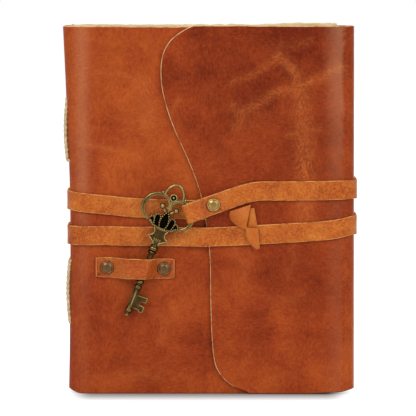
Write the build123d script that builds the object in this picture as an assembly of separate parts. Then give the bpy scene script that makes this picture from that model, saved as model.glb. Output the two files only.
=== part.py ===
from build123d import *
import os
from math import cos, radians, sin, sqrt, tan

# Soft leather wrap journal with a strap and a key fastening, in millimetres.
# Frame: the origin is under the middle of the book, on the surface that it stands on.
# +Z is up along the spine, +X runs from the spine to the fore edge, and -Y is the front.

# Book and paper
COVER_HEIGHT = 203.0
BOOK_WIDTH = 158.0
LEATHER = 1.5
WRAP_RADIUS = 7.0
SIGNATURE_COUNT = 5
SIGNATURE_THICKNESS = 4.2
SIGNATURE_GAP = 0.25
SIGNATURE_ROUND = 0.45 * SIGNATURE_THICKNESS
FORE_EDGE_GAP = 6.8
PAGE_BOTTOM = 0.0
PAGE_TOP = 204.0
INNER_GAP = 1.2
FOLD_GAP = 0.15

# Front cover, flap and the slack between soft layers
SLIP = 0.15
COVER_EDGE_GAP = 3.0
FLAP_TOP = 203.8
FLAP_BOTTOM = 0.8
FLAP_EDGE = [
    (-9.5, 202.7), (-22.7, 192.6), (-26.4, 177.0), (-20.2, 149.1), (-9.6, 125.0), (-2.4, 98.0), (0.3, 72.0),
    (1.2, 45.0), (2.8, 19.5), (8.2, 7.4), (20.8, 1.0),
]

# Strap
STRAP_WIDTH = 10.5
STRAP_THICKNESS = 1.4
STRAP_FOLD_GAP = 0.2
UPPER_LEFT_Z = [(-79.0, 107.7), (-37.0, 103.6), (-7.7, 102.4), (18.0, 101.4)]
LOWER_LEFT_Z = [(-79.0, 88.3), (-34.0, 87.8), (-2.0, 87.5)]
LOWER_FRONT_Z = [(0.5, 87.5), (42.6, 89.9), (79.0, 94.2)]
UPPER_FRONT_Z = [(20.4, 111.4), (42.6, 112.9), (79.0, 113.6)]
FIRST_PASS_Z = (107.7, 93.4)
SECOND_PASS_Z = (87.4, 114.4)
RAMP_LENGTH = 14.0

# Strap's folded end, its slope on the flap and its rivet
END_CENTRE = (2.5, 105.7)
END_SLOPE = 19.5
END_TAIL = 6.0
END_REACH = 16.9
END_JOIN = 21.0
END_CUT_GAP = 0.4
PLY_GAP = 0.1

# Knot at the strap's start, as outlines in X and Z
KNOT_FACET = [(11.6, 101.6), (21.6, 104.4), (24.6, 102.6), (26.6, 93.4), (20.6, 92.4), (12.0, 96.8)]
KNOT_TAIL = [(20.4, 94.0), (26.8, 94.0), (27.9, 81.3), (26.4, 80.9), (20.0, 87.9)]

# Key holder and rivets
HOLDER_LEFT = -62.4
HOLDER_RIGHT = -19.0
HOLDER_HEIGHT = 11.2
HOLDER_Z = 70.3
HOLDER_SLOPE = 1.3
HOLDER_THICKNESS = 1.6
HOLDER_RISE = 6.0
HOLDER_BEND = 0.9
RIVET_LEFT_X = -56.1
RIVET_RIGHT_X = -24.7
RIVET_HEAD = 7.4
RIVET_DOME = 1.3
RIVET_SEAT = 0.6
RIVET_SHANK = 3.0
RIVET_CAP = 6.5
RIVET_CAP_THICKNESS = 0.7
STRAP_CAP_THICKNESS = 0.5
RIVET_CLEARANCE = 0.05

# Sewing
STITCH_SPANS = {"stitches_upper": (129.0, 164.0), "stitches_lower": (38.7, 74.0)}
STITCH_RADIUS = 0.7
STITCH_HOLE_CLEARANCE = 0.2
STITCH_BEND = 1.1

# Key: u runs along the axis from the tip, v across it
KEY_TIP = (-45.5, 44.0)
KEY_LEAN = 21.8
KEY_DEPTH_TILT = 2.4
KEY_CLEARANCE = 0.4
HOLDER_KEY_U = 31.0
BOW_HALF_DEPTH = 1.0
BOW_U = 62.0
SHAFT_RADIUS = 1.75
KNUCKLE_RADIUS = 2.0
SHANK_PROFILE = [
    (0.0, 1.0), (0.5, 1.3), (2.5, 1.3), (3.0, 1.9), (3.4, 2.1), (4.2, 2.1), (4.7, SHAFT_RADIUS),
    (16.2, SHAFT_RADIUS), (16.7, 1.95), (18.3, 1.95), (18.8, 1.4), (19.6, 1.6), (20.2, KNUCKLE_RADIUS),
    (21.0, KNUCKLE_RADIUS), (21.7, 1.55), (37.6, 1.55), (38.0, 2.2), (38.8, 2.2), (39.1, 1.8), (39.8, 2.4),
    (41.0, 2.4), (41.7, 1.7), (44.0, 1.4),
]
FLUTE_COUNT = 6
FLUTE_STANDOFF = 0.2
FLUTE_RADIUS = 0.5
FLUTE_SPAN = (5.2, 15.6)
BIT_THICKNESS = 1.8
BIT_OUTLINE = [
    (0.5, 5.6), (4.6, 5.6), (5.0, 4.4), (7.4, 4.7), (7.4, 8.2), (4.6, 8.6), (4.6, 10.2), (7.4, 10.4),
    (7.4, 13.6), (0.5, 13.0),
]
SHIELD_THICKNESS = 2.0
SHIELD_OUTLINE = [(2.0, 42.4), (2.7, 44.4), (5.5, 46.8), (3.4, 48.6), (3.3, 50.4), (4.6, 52.4)]
CROWN_CORNER = (8.2, 54.9)
CROWN_BASE_U = 52.0
CROWN_WIRE = 0.75
CROWN_FINE_WIRE = 0.65
CROWN_OGEE = [(1.7, 52.4), (2.6, 57.2), (0.0, 62.4)]
CROWN_LOBE = [(2.5, 57.4), (4.8, 59.2), (5.9, 56.2)]
CROWN_SIDE_LOBE = [(5.6, 56.4), (7.2, 57.2), (7.7, 55.0)]
CROWN_STRUT = [(5.9, 56.4), (5.2, 52.9)]
SCROLL_START = (8.0, 54.7)
SCROLL_START_ANGLE = 10.0
SCROLL_ARCS = [(7.4, 80.0), (8.3, 90.0), (5.2, 90.0), (2.0, 50.0)]
SCROLL_HALF_WIDTH = 1.05
BALL = (4.0, 64.3)
BALL_RADIUS = 1.3
BALL_STEM_FOOT = (1.2, 61.4)
BALL_STEM_RADIUS = 0.6
ARCH_FOOT = (5.4, 70.2)
ARCH_SHOULDER = (4.1, 74.9)
ARCH_GAP = 5.2
ARCH_WIRE = 0.75
ARCH_BEAD_OFFSET = (1.0, 1.4)
ARCH_BEAD_RADIUS = 0.9
RING_U = 70.6
RING_RADIUS = 1.75
RING_WIRE = 0.55
RING_BOSS_RADIUS = 1.0

# Levels worked out from the layers, front to back
block_depth = SIGNATURE_COUNT * SIGNATURE_THICKNESS + (SIGNATURE_COUNT - 1) * SIGNATURE_GAP
cover_back = -(block_depth / 2 + INNER_GAP)
cover_front = cover_back - LEATHER
strap_on_cover = cover_front - SLIP - STRAP_THICKNESS / 2
flap_back = cover_front - SLIP - STRAP_THICKNESS - SLIP
flap_front = flap_back - LEATHER
strap_on_flap = flap_front - SLIP - STRAP_THICKNESS / 2
back_face = -cover_front
fold_x = BOOK_WIDTH / 2 - WRAP_RADIUS
spine_inner = -BOOK_WIDTH / 2 + LEATHER
rear_ply = flap_front - SLIP - STRAP_CAP_THICKNESS - STRAP_THICKNESS / 2
front_ply = rear_ply - STRAP_THICKNESS - PLY_GAP
bow_y = rear_ply - STRAP_THICKNESS / 2 - SLIP - BOW_HALF_DEPTH
loop_front_ply = bow_y - BOW_HALF_DEPTH - SLIP - STRAP_THICKNESS / 2
big = 2 * COVER_HEIGHT


def wrap_outline(grow, front, back):
    """Rounded outline of the closed book, seen from above, grown evenly on all sides."""
    width = BOOK_WIDTH + 2 * grow
    depth = back - front + 2 * grow
    return Pos(0, (front + back) / 2) * RectangleRounded(width, depth, WRAP_RADIUS + grow)


def wrap_side(inner, outer, front, back, side):
    """One folded side of a layer round the book: side is -1 at the spine and 1 at the fore edge."""
    ring = wrap_outline(outer, front, back) - wrap_outline(inner, front, back)
    half = Pos(side * (fold_x + BOOK_WIDTH / 2), 0) * Rectangle(BOOK_WIDTH, big)
    return ring & half


def ribbon(points, width):
    """Closed band round a line of points, its width measured along the second axis."""
    upper = [(a, b + width / 2) for a, b in points]
    lower = [(a, b - width / 2) for a, b in reversed(points)]
    return make_face(Polyline(*upper, *lower, close=True))


def slab(centres):
    """Strap-wide slab through the book, following centre points given in X and Z."""
    return extrude(Plane.XZ * ribbon(centres, STRAP_WIDTH), amount=big, both=True)


def box_between(low, high):
    """Box between two corners."""
    size = [high[i] - low[i] for i in range(3)]
    middle = [(high[i] + low[i]) / 2 for i in range(3)]
    return Pos(*middle) * Box(*size)


def outward(face, depth):
    """Solid that stands out of a face drawn in X and Z, towards the front."""
    return extrude(face, amount=depth, dir=(0, -1, 0))


def flap_face():
    """Outline of the flap in X and Z, at the flap's inner side."""
    hinge_x = fold_x - FOLD_GAP
    straight = Polyline(FLAP_EDGE[-1], (hinge_x, FLAP_BOTTOM), (hinge_x, FLAP_TOP), FLAP_EDGE[0])
    return Plane.XZ.offset(-flap_back) * make_face(Spline(*FLAP_EDGE) + straight)


def rivet_holes(depth_from, depth_to):
    """Holes for the two holder rivets, along Y."""
    holes = []
    for x in (RIVET_LEFT_X, RIVET_RIGHT_X):
        holes.append(rivet_pin(x, holder_z(x), depth_from, depth_to, RIVET_SHANK / 2 + RIVET_CLEARANCE))
    return holes


def rivet_pin(x, z, y_from, y_to, radius):
    """Round pin along Y between two depths."""
    middle = (y_from + y_to) / 2
    return Pos(x, middle, z) * Rot(90, 0, 0) * Cylinder(radius, abs(y_to - y_from))


def rivet(x, z, head_y, cap_y, cap_thickness):
    """Set double-cap rivet: a domed head in front, a flat cap behind and the shank between them."""
    cap_top = cap_y + cap_thickness
    outline = Polyline(
        (0, head_y - RIVET_DOME), (0, cap_top), (RIVET_CAP / 2, cap_top), (RIVET_CAP / 2, cap_y),
        (RIVET_SHANK / 2, cap_y), (RIVET_SHANK / 2, head_y), (RIVET_HEAD / 2, head_y),
    )
    dome = TangentArc((0, head_y - RIVET_DOME), (RIVET_HEAD / 2, head_y), tangent=(1, 0))
    return Pos(x, 0, z) * revolve(make_face(outline + dome), axis=Axis.Y)


def holder_z(x):
    """Height of the holder band's middle line at a place along it."""
    return HOLDER_Z - (x - (HOLDER_LEFT + HOLDER_RIGHT) / 2) * tan(radians(HOLDER_SLOPE))


def spine_x(y):
    """Outer face of the spine at a depth: flat in the middle and round towards the covers."""
    into_round = max(abs(y) - (back_face - WRAP_RADIUS), 0)
    return -BOOK_WIDTH / 2 + WRAP_RADIUS - sqrt(WRAP_RADIUS**2 - into_round**2)


def key_axis_y(u):
    """Depth of the key's axis at a place along it: it leans out towards the bow."""
    return bow_y + (BOW_U - u) * sin(radians(KEY_DEPTH_TILT))


# Paper: folded gatherings, with their folds at the spine
parts = {}
signature_pitch = SIGNATURE_THICKNESS + SIGNATURE_GAP
signature_y = [(i - (SIGNATURE_COUNT - 1) / 2) * signature_pitch for i in range(SIGNATURE_COUNT)]
signature_left = spine_inner + INNER_GAP
signature_right = BOOK_WIDTH / 2 - LEATHER - FORE_EDGE_GAP
for number, y in enumerate(signature_y, 1):
    sheet = box_between(
        (signature_left, y - SIGNATURE_THICKNESS / 2, PAGE_BOTTOM),
        (signature_right, y + SIGNATURE_THICKNESS / 2, PAGE_TOP),
    )
    fold = sheet.edges().filter_by(Axis.Z).group_by(Axis.X)[0]
    parts[f"signature_{number}"] = fillet(fold, SIGNATURE_ROUND)

# Leather wrap, divided at its fold lines
spine_panel = extrude(wrap_side(-LEATHER, 0, cover_front, back_face, -1), COVER_HEIGHT)
stitch_places = [(name, y, low, high) for name, (low, high) in STITCH_SPANS.items() for y in signature_y]
for name, y, low, high in stitch_places:
    for z in (low, high):
        hole_radius = STITCH_RADIUS + STITCH_HOLE_CLEARANCE
        spine_panel -= Pos(-BOOK_WIDTH / 2, y, z) * Rot(0, 90, 0) * Cylinder(hole_radius, 2 * WRAP_RADIUS)
parts["spine_panel"] = spine_panel
parts["back_cover"] = box_between((-fold_x, back_face - LEATHER, 0), (fold_x, back_face, COVER_HEIGHT))
parts["fore_edge_panel"] = extrude(wrap_side(-LEATHER, 0, flap_front, back_face, 1), COVER_HEIGHT)
front_cover = box_between(
    (-fold_x + FOLD_GAP, cover_front, 0), (fold_x - COVER_EDGE_GAP, cover_back, COVER_HEIGHT)
)
for hole in rivet_holes(cover_front - LEATHER, cover_back + LEATHER):
    front_cover -= hole
parts["front_cover"] = front_cover
parts["flap"] = outward(flap_face(), LEATHER)

# Long stitches: each cord lies along the spine and turns in through the leather at both ends
for group in STITCH_SPANS:
    cords = []
    for name, y, low, high in stitch_places:
        if name != group:
            continue
        out_x = spine_x(y) - STITCH_RADIUS - SLIP
        in_x = signature_left - SLIP
        corners = [(in_x, y, low), (out_x, y, low), (out_x, y, high), (in_x, y, high)]
        route = FilletPolyline(*corners, radius=STITCH_BEND)
        section = Plane(origin=(in_x, y, low), z_dir=(-1, 0, 0)) * Circle(STITCH_RADIUS)
        cords.append(sweep(section, path=route))
    parts[group] = Compound(children=cords)

# Strap on the front cover: the upper band runs under the flap, the lower one climbs onto it
band_left = -fold_x + STRAP_FOLD_GAP
upper_route = [(band_left, strap_on_cover), (UPPER_LEFT_Z[-1][0], strap_on_cover)]
parts["strap_upper_left"] = extrude(ribbon(upper_route, STRAP_THICKNESS), big) & slab(UPPER_LEFT_Z)
ramp_end = LOWER_LEFT_Z[-1][0]
ramp_start = ramp_end - RAMP_LENGTH
lower_route = [(band_left, strap_on_cover), (ramp_start, strap_on_cover), (ramp_end, strap_on_flap)]
parts["strap_lower_left"] = extrude(ribbon(lower_route, STRAP_THICKNESS), big) & slab(LOWER_LEFT_Z)

# Strap over the flap
band_right = fold_x - STRAP_FOLD_GAP
for name, centres in (("strap_lower_front", LOWER_FRONT_Z), ("strap_upper_front", UPPER_FRONT_Z)):
    run = ribbon([(centres[0][0], strap_on_flap), (band_right, strap_on_flap)], STRAP_THICKNESS)
    parts[name] = extrude(run, big) & slab(centres)

# Strap round the spine, back and fore edge: the second pass crosses over the first on the back
for name, (z_spine, z_fore), raised in (
    ("strap_first_pass", FIRST_PASS_Z, 0),
    ("strap_second_pass", SECOND_PASS_Z, STRAP_THICKNESS + SLIP),
):
    back = back_face + raised
    layer = wrap_side(SLIP, SLIP + STRAP_THICKNESS, cover_front, back, -1)
    layer += wrap_side(SLIP, SLIP + STRAP_THICKNESS, flap_front, back, 1)
    back_run_y = back + SLIP + STRAP_THICKNESS / 2
    layer += Pos(0, back_run_y) * Rectangle(2 * fold_x, STRAP_THICKNESS)
    z_middle = (z_spine + z_fore) / 2
    z_rise = z_fore - z_spine
    slope_line = [(-BOOK_WIDTH, z_middle - z_rise), (BOOK_WIDTH, z_middle + z_rise)]
    parts[name] = extrude(layer, big) & slab(slope_line)

# Knot: a folded facet out of the slit in the flap, and its tail over the lower band
facet_face = Plane.XZ.offset(-(flap_front - SLIP)) * make_face(Polyline(*KNOT_FACET, close=True))
tail_y = strap_on_flap - STRAP_THICKNESS / 2 - SLIP
tail_face = Plane.XZ.offset(-tail_y) * make_face(Polyline(*KNOT_TAIL, close=True))
knot_top = outward(facet_face, flap_front - SLIP - tail_y + STRAP_THICKNESS)
lower_band_room = extrude(Plane.XZ * ribbon(LOWER_FRONT_Z, STRAP_WIDTH + 2 * SLIP), amount=big, both=True)
lower_band_room &= box_between((-big, tail_y, -big), (big, big, big))
parts["strap_knot"] = knot_top - lower_band_room + outward(tail_face, STRAP_THICKNESS)

# Key, drawn flat with v along X and u along Y
shank_points = [(r, u) for u, r in SHANK_PROFILE]
shank_ends = [(0, SHANK_PROFILE[-1][0]), (0, SHANK_PROFILE[0][0])]
key = revolve(make_face(Polyline(*shank_points, *shank_ends, close=True)), axis=Axis.Y)
flute_length = FLUTE_SPAN[1] - FLUTE_SPAN[0]
flute_centre = Pos(0, sum(FLUTE_SPAN) / 2, SHAFT_RADIUS + FLUTE_STANDOFF)
for index in range(FLUTE_COUNT):
    flute = flute_centre * Rot(90, 0, 0) * Cylinder(FLUTE_RADIUS, flute_length)
    key -= Rot(0, 360 / FLUTE_COUNT * index, 0) * flute


def plate(outline, thickness):
    """Flat plate of the key, centred on its axis."""
    return extrude(make_face(Polyline(*outline, close=True)), amount=thickness / 2, both=True)


def mirrored(outline):
    """Outline closed by its own mirror image across the key's axis."""
    return outline + [(-v, u) for v, u in reversed(outline)]


def on_side(points, side):
    """Points on one side of the key's axis: side is 1, or -1 for their mirror image."""
    return [(side * v, u) for v, u in points]


def wire(path, half_width, half_depth):
    """Cast wire along a flat path, oval in section."""
    start = Plane(origin=path @ 0, x_dir=(0, 0, 1), z_dir=path % 0)
    return sweep(start * Ellipse(half_depth, half_width), path=path)


def bead(place, radius):
    """Round bead on the flat of the bow."""
    return Pos(place[0], place[1], 0) * Sphere(radius)


key += plate(BIT_OUTLINE, BIT_THICKNESS)
key += plate(mirrored(SHIELD_OUTLINE), SHIELD_THICKNESS)
crown_base = ThreePointArc((-CROWN_CORNER[0], CROWN_CORNER[1]), (0, CROWN_BASE_U), CROWN_CORNER)
key += wire(crown_base, CROWN_WIRE, BOW_HALF_DEPTH)
crown_stem = [(CROWN_WIRE, CROWN_OGEE[-1][1] - CROWN_WIRE), (CROWN_WIRE, RING_U - RING_RADIUS)]
key += plate(mirrored(crown_stem), 2 * CROWN_WIRE)
for side in (-1, 1):
    for outline in (CROWN_OGEE, CROWN_LOBE):
        key += wire(ThreePointArc(*on_side(outline, side)), CROWN_WIRE, CROWN_WIRE)
    key += wire(ThreePointArc(*on_side(CROWN_SIDE_LOBE, side)), CROWN_FINE_WIRE, CROWN_FINE_WIRE)
    key += wire(Line(*on_side(CROWN_STRUT, side)), CROWN_FINE_WIRE, CROWN_FINE_WIRE)
    key += wire(Line(*on_side([BALL_STEM_FOOT, BALL], side)), BALL_STEM_RADIUS, BALL_STEM_RADIUS)
    key += bead((side * BALL[0], BALL[1]), BALL_RADIUS)
    arch_bead = (side * (ARCH_FOOT[0] + ARCH_BEAD_OFFSET[0]), ARCH_FOOT[1] + ARCH_BEAD_OFFSET[1])
    key += bead(arch_bead, ARCH_BEAD_RADIUS)
start_turn = radians(SCROLL_START_ANGLE)
scroll_path = JernArc(SCROLL_START, (cos(start_turn), sin(start_turn)), *SCROLL_ARCS[0])
for radius, turn in SCROLL_ARCS[1:]:
    scroll_path += JernArc(scroll_path @ 1, scroll_path % 1, radius, turn)
scroll = wire(scroll_path, SCROLL_HALF_WIDTH, BOW_HALF_DEPTH)
key += scroll + mirror(scroll, about=Plane.YZ)
arch_apex = (0, RING_U + RING_RADIUS + ARCH_GAP)
arch_points = on_side([ARCH_FOOT, ARCH_SHOULDER], -1) + [arch_apex, ARCH_SHOULDER, ARCH_FOOT]
key += wire(Spline(*arch_points), ARCH_WIRE, ARCH_WIRE)
key += Pos(0, RING_U, 0) * Torus(RING_RADIUS, RING_WIRE)
key += Pos(0, RING_U, 0) * Cylinder(RING_RADIUS, RING_WIRE)
key += Pos(0, RING_U, 0) * Sphere(RING_BOSS_RADIUS)
lean = radians(KEY_LEAN)
tilt = radians(KEY_DEPTH_TILT)
along = Vector(sin(lean) * cos(tilt), -sin(tilt), cos(lean) * cos(tilt))
across = Vector(cos(lean), 0, -sin(lean))
key_plane = Plane(origin=(KEY_TIP[0], key_axis_y(0), KEY_TIP[1]), x_dir=across, z_dir=across.cross(along))
parts["key"] = Location(key_plane) * key

# Key holder: a band riveted flat at both ends, arched over the key between the rivets
arch_front = key_axis_y(HOLDER_KEY_U) - KNUCKLE_RADIUS - KEY_CLEARANCE
flat_y = cover_front - HOLDER_THICKNESS / 2 - SLIP
arch_y = arch_front - HOLDER_THICKNESS / 2
rivet_reach = RIVET_HEAD / 2 + RIVET_SEAT
holder_path = FilletPolyline(
    (HOLDER_LEFT, flat_y),
    (RIVET_LEFT_X + rivet_reach, flat_y),
    (RIVET_LEFT_X + rivet_reach + HOLDER_RISE, arch_y),
    (RIVET_RIGHT_X - rivet_reach - HOLDER_THICKNESS / 2, arch_y),
    (RIVET_RIGHT_X - rivet_reach, flat_y),
    (HOLDER_RIGHT, flat_y),
    radius=HOLDER_BEND,
)
holder = extrude(trace(holder_path, HOLDER_THICKNESS), amount=HOLDER_HEIGHT / 2, both=True)
holder_middle = (HOLDER_LEFT + HOLDER_RIGHT) / 2
holder = Pos(holder_middle, 0, HOLDER_Z) * Rot(0, HOLDER_SLOPE, 0) * Pos(-holder_middle, 0, 0) * holder
for hole in rivet_holes(cover_front + LEATHER, flat_y - HOLDER_THICKNESS):
    holder -= hole
parts["key_holder"] = holder
holder_face = flat_y - HOLDER_THICKNESS / 2
for name, x in (("holder_rivet_left", RIVET_LEFT_X), ("holder_rivet_right", RIVET_RIGHT_X)):
    parts[name] = rivet(x, holder_z(x), holder_face, cover_back, RIVET_CAP_THICKNESS)

# Strap's end: folded round the right scroll of the bow and riveted to itself
fold_radius = (rear_ply - loop_front_ply) / 2
fold_at = END_REACH - fold_radius - STRAP_THICKNESS / 2
front_route = [
    (-fold_at, loop_front_ply), (-RIVET_HEAD, loop_front_ply), (-RIVET_HEAD / 2, front_ply),
    (RIVET_HEAD / 2, front_ply), (END_TAIL + RIVET_HEAD / 2, strap_on_flap), (END_JOIN, strap_on_flap),
]
end_section = ribbon(front_route, STRAP_THICKNESS)
end_section += ribbon([(-fold_at, rear_ply), (END_TAIL, rear_ply)], STRAP_THICKNESS)
turn = Circle(fold_radius + STRAP_THICKNESS / 2) - Circle(fold_radius - STRAP_THICKNESS / 2)
turn &= Pos(-big / 2, 0) * Rectangle(big, big)
end_section += Pos(-fold_at, (rear_ply + loop_front_ply) / 2) * turn
strap_end = extrude(end_section, amount=STRAP_WIDTH / 2, both=True)
strap_end = Pos(END_CENTRE[0], 0, END_CENTRE[1]) * Rot(0, -END_SLOPE, 0) * strap_end
strap_end -= Location(key_plane) * wire(scroll_path, SCROLL_HALF_WIDTH + 2 * SLIP, BOW_HALF_DEPTH + SLIP)
strap_end -= rivet_pin(*END_CENTRE, big, -big, RIVET_SHANK / 2 + RIVET_CLEARANCE)
strap_cut = UPPER_FRONT_Z[0][0] - END_CUT_GAP
parts["strap_end"] = strap_end - box_between((strap_cut, -big, -big), (big, big, big))
rivet_seat = front_ply - STRAP_THICKNESS / 2
rivet_back = rear_ply + STRAP_THICKNESS / 2
parts["strap_rivet"] = rivet(*END_CENTRE, rivet_seat, rivet_back, STRAP_CAP_THICKNESS)

os.makedirs("parts", exist_ok=True)
for name, solid in parts.items():
    export_step(solid, f"parts/{name}.step")
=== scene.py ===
"""Looks of a soft leather wrap journal with a strap and a key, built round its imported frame."""
import bisect
import logging
import math
from dataclasses import dataclass
from enum import Enum
from typing import Callable, Sequence

import bpy
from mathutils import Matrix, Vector, noise


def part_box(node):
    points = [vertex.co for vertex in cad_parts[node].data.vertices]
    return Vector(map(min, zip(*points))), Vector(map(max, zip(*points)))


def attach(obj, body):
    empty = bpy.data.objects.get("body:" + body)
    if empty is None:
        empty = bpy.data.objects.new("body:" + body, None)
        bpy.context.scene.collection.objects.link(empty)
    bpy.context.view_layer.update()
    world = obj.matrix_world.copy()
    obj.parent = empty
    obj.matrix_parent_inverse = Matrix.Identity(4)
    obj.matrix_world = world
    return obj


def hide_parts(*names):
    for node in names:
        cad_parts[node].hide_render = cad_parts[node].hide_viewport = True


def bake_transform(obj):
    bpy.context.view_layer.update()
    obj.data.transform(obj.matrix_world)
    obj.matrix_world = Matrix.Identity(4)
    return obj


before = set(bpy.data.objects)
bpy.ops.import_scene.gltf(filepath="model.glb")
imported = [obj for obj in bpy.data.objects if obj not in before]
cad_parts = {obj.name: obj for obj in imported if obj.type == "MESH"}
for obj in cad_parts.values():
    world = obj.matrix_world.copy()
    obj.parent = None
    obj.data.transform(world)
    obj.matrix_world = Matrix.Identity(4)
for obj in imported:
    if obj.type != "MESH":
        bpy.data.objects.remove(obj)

LOG = logging.getLogger("journal")
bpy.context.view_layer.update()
# Sizes are in millimetres, and Blender's own unit is the metre
METRES = 0.001
# Slots of a leather sheet's materials: its faces, its cut rim and, on the wrap, its inner side
RIM_SLOT = 1
FLESH_SLOT = 2
MATERIAL_SLOTS = 2
# Metal is rubbed bright where it is as round as this radius; where it turns away from the front it gets
# painted shade
RUBBED_RADIUS = 1.5
RUBBED_ROUNDNESS = (0.2, 1.3)
SHADED_FACING = (-0.1, 1.0)
# Distance between two layers of the same noise, so that they aren't alike
LAYER_STEP = 7.31
# A rivet head's section as shares of its radius and rise: dome, groove, rolled rim and underside
RIVET_SECTION = (
    (0.0, 1.0), (0.25, 0.97), (0.45, 0.88), (0.6, 0.75), (0.7, 0.6), (0.76, 0.54), (0.86, 0.64), (0.94, 0.56),
    (1.0, 0.3), (0.98, -0.06), (0.6, -0.12),
)
WHITE = (1.0, 1.0, 1.0, 1.0)
SMOOTH = {"interpolation_type": "SMOOTHSTEP"}

Pair = tuple[float, float]
Point = tuple[float, float, float]
Surface = Callable[[float, float], Point]
Swell = Callable[[float, float], float]
Seam = Callable[[Vector], bool]
Piece = bpy.types.Object
Material = bpy.types.Material
NodeTree = bpy.types.NodeTree
Socket = bpy.types.NodeSocket


class Body(str, Enum):
    """Bodies of the frame that the pieces ride on."""

    BOOK = "book"
    COVER = "cover"
    FLAP = "flap"
    KEY = "key"
    STRAP_END = "strap_end"


class Slot(str, Enum):
    """Material slots of the record."""

    WRAP = "wrap_leather"
    STRAP = "strap_leather"
    HOLDER = "holder_leather"
    PAPER = "paper"
    CORD = "cord"
    BRONZE = "antique_bronze"
    DARK_RIVET = "dark_rivet"
    BRIGHT_RIVET = "bright_rivet"


class Kind(str, Enum):
    """Shader nodes that the finishes are made of."""

    ATTRIBUTE = "ShaderNodeAttribute"
    BUMP = "ShaderNodeBump"
    CELLS = "ShaderNodeTexVoronoi"
    COORDINATES = "ShaderNodeTexCoord"
    HOLLOWS = "ShaderNodeAmbientOcclusion"
    LIGHT_PATH = "ShaderNodeLightPath"
    MAPPING = "ShaderNodeMapping"
    MATH = "ShaderNodeMath"
    MIX = "ShaderNodeMix"
    NOISE = "ShaderNodeTexNoise"
    RAMP = "ShaderNodeValToRGB"
    RANGE = "ShaderNodeMapRange"
    SEPARATE = "ShaderNodeSeparateXYZ"
    VECTORS = "ShaderNodeVectorMath"


def srgb(code: str) -> tuple[float, float, float, float]:
    """Turn an sRGB hex colour into linear RGBA.

    Args:
        code: Six hex digits, with or without a leading hash.

    Returns:
        Linear red, green, blue and an alpha of one.
    """
    digits = code.lstrip("#")
    channels = [int(digits[i:i + 2], 16) / 255 for i in (0, 2, 4)]
    linear = [c / 12.92 if c <= 0.04045 else ((c + 0.055) / 1.055) ** 2.4 for c in channels]
    return (linear[0], linear[1], linear[2], 1.0)


def per_mm(size: float) -> float:
    """Give the texture scale, in object metres, of a pattern whose repeat is a size in millimetres."""
    return 1.0 / (size * METRES)


def ease(low: float, high: float, value: float) -> float:
    """Ease from zero at low to one at high.

    Args:
        low: Value where the result is zero.
        high: Value where the result is one, above or below low.
        value: Value to place between them.

    Returns:
        A smooth share between zero and one.
    """
    share = min(max((value - low) / (high - low), 0.0), 1.0)
    return share * share * (3 - 2 * share)


def through(points: Sequence[Pair], at: float) -> float:
    """Read a smooth line through a few points.

    Args:
        points: Pairs of place and value, in rising order of place.
        at: Place to read.

    Returns:
        The value there, level past either end.
    """
    if at <= points[0][0]:
        return points[0][1]
    if at >= points[-1][0]:
        return points[-1][1]
    last = len(points) - 1
    index = next(i for i in range(last) if at <= points[i + 1][0])
    (x0, y0), (x1, y1) = points[index], points[index + 1]
    before = points[max(index - 1, 0)]
    after = points[min(index + 2, last)]
    slope0 = (y1 - before[1]) / (x1 - before[0])
    slope1 = (after[1] - y0) / (after[0] - x0)
    span = x1 - x0
    t = (at - x0) / span
    return (
        (2 * t**3 - 3 * t**2 + 1) * y0 + (t**3 - 2 * t**2 + t) * span * slope0
        + (-2 * t**3 + 3 * t**2) * y1 + (t**3 - t**2) * span * slope1
    )


def rise(value: float, amount: float, low: float, high: float) -> float:
    """Rise smoothly from zero at low to an amount at high."""
    return amount * ease(low, high, value)


def ripple(x: float, z: float, size: float, layer: float = 0.0) -> float:
    """Give smooth noise of a size in millimetres, from about -1 to 1."""
    return noise.noise(Vector((x / size, layer * LAYER_STEP, z / size)))


def waves(x: float, z: float, *ripples: Point) -> float:
    """Add up ripples, each given by its height, its size in millimetres and its layer."""
    return sum(height * ripple(x, z, size, layer) for height, size, layer in ripples)


def on_section(section: Sequence[Pair], share: float) -> Pair:
    """Read a section of straight runs.

    Args:
        section: Its corners in order.
        share: Share of its runs, from zero to one.

    Returns:
        The point there.
    """
    place = share * (len(section) - 1)
    index = min(int(place), len(section) - 2)
    (x0, y0), (x1, y1) = section[index], section[index + 1]
    return x0 + (x1 - x0) * (place - index), y0 + (y1 - y0) * (place - index)


def node_box(node: str) -> tuple[Vector, Vector]:
    """Give a frame node's lowest and highest corners in millimetres."""
    low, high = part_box(node)
    return Vector(low) / METRES, Vector(high) / METRES


def clear_selection() -> None:
    """Deselect everything, so that operators act on the new piece alone."""
    if bpy.context.object and bpy.context.object.mode != "OBJECT":
        bpy.ops.object.mode_set(mode="OBJECT")
    bpy.ops.object.select_all(action="DESELECT")


def select_only(piece: Piece) -> None:
    """Make one piece the only selected and active object."""
    clear_selection()
    piece.select_set(True)
    bpy.context.view_layer.objects.active = piece


def named(name: str) -> Piece:
    """Name the object that an operator has just added.

    Args:
        name: Its new name.

    Returns:
        The object.
    """
    piece = bpy.context.active_object
    piece.name = name
    piece.data.name = name
    return piece


def add_slots(piece: Piece, count: int = MATERIAL_SLOTS) -> None:
    """Give a new mesh empty material slots."""
    for _ in range(count):
        piece.data.materials.append(None)


def sheet_grid(name: str, columns: int, rows: int, place: Surface) -> Piece:
    """Add a grid and lay it along a surface.

    Args:
        name: Name of the new object.
        columns: Cells along the first direction.
        rows: Cells along the second direction.
        place: Gives the point in millimetres for two shares from zero to one.

    Returns:
        The new mesh object, in metres.
    """
    clear_selection()
    bpy.ops.mesh.primitive_grid_add(x_subdivisions=columns, y_subdivisions=rows, size=2)
    piece = named(name)
    for vertex in piece.data.vertices:
        share_s = vertex.co.x * 0.5 + 0.5
        share_t = vertex.co.y * 0.5 + 0.5
        vertex.co = Vector(place(share_s, share_t)) * METRES
    add_slots(piece)
    piece.data.update()
    return piece


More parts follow.
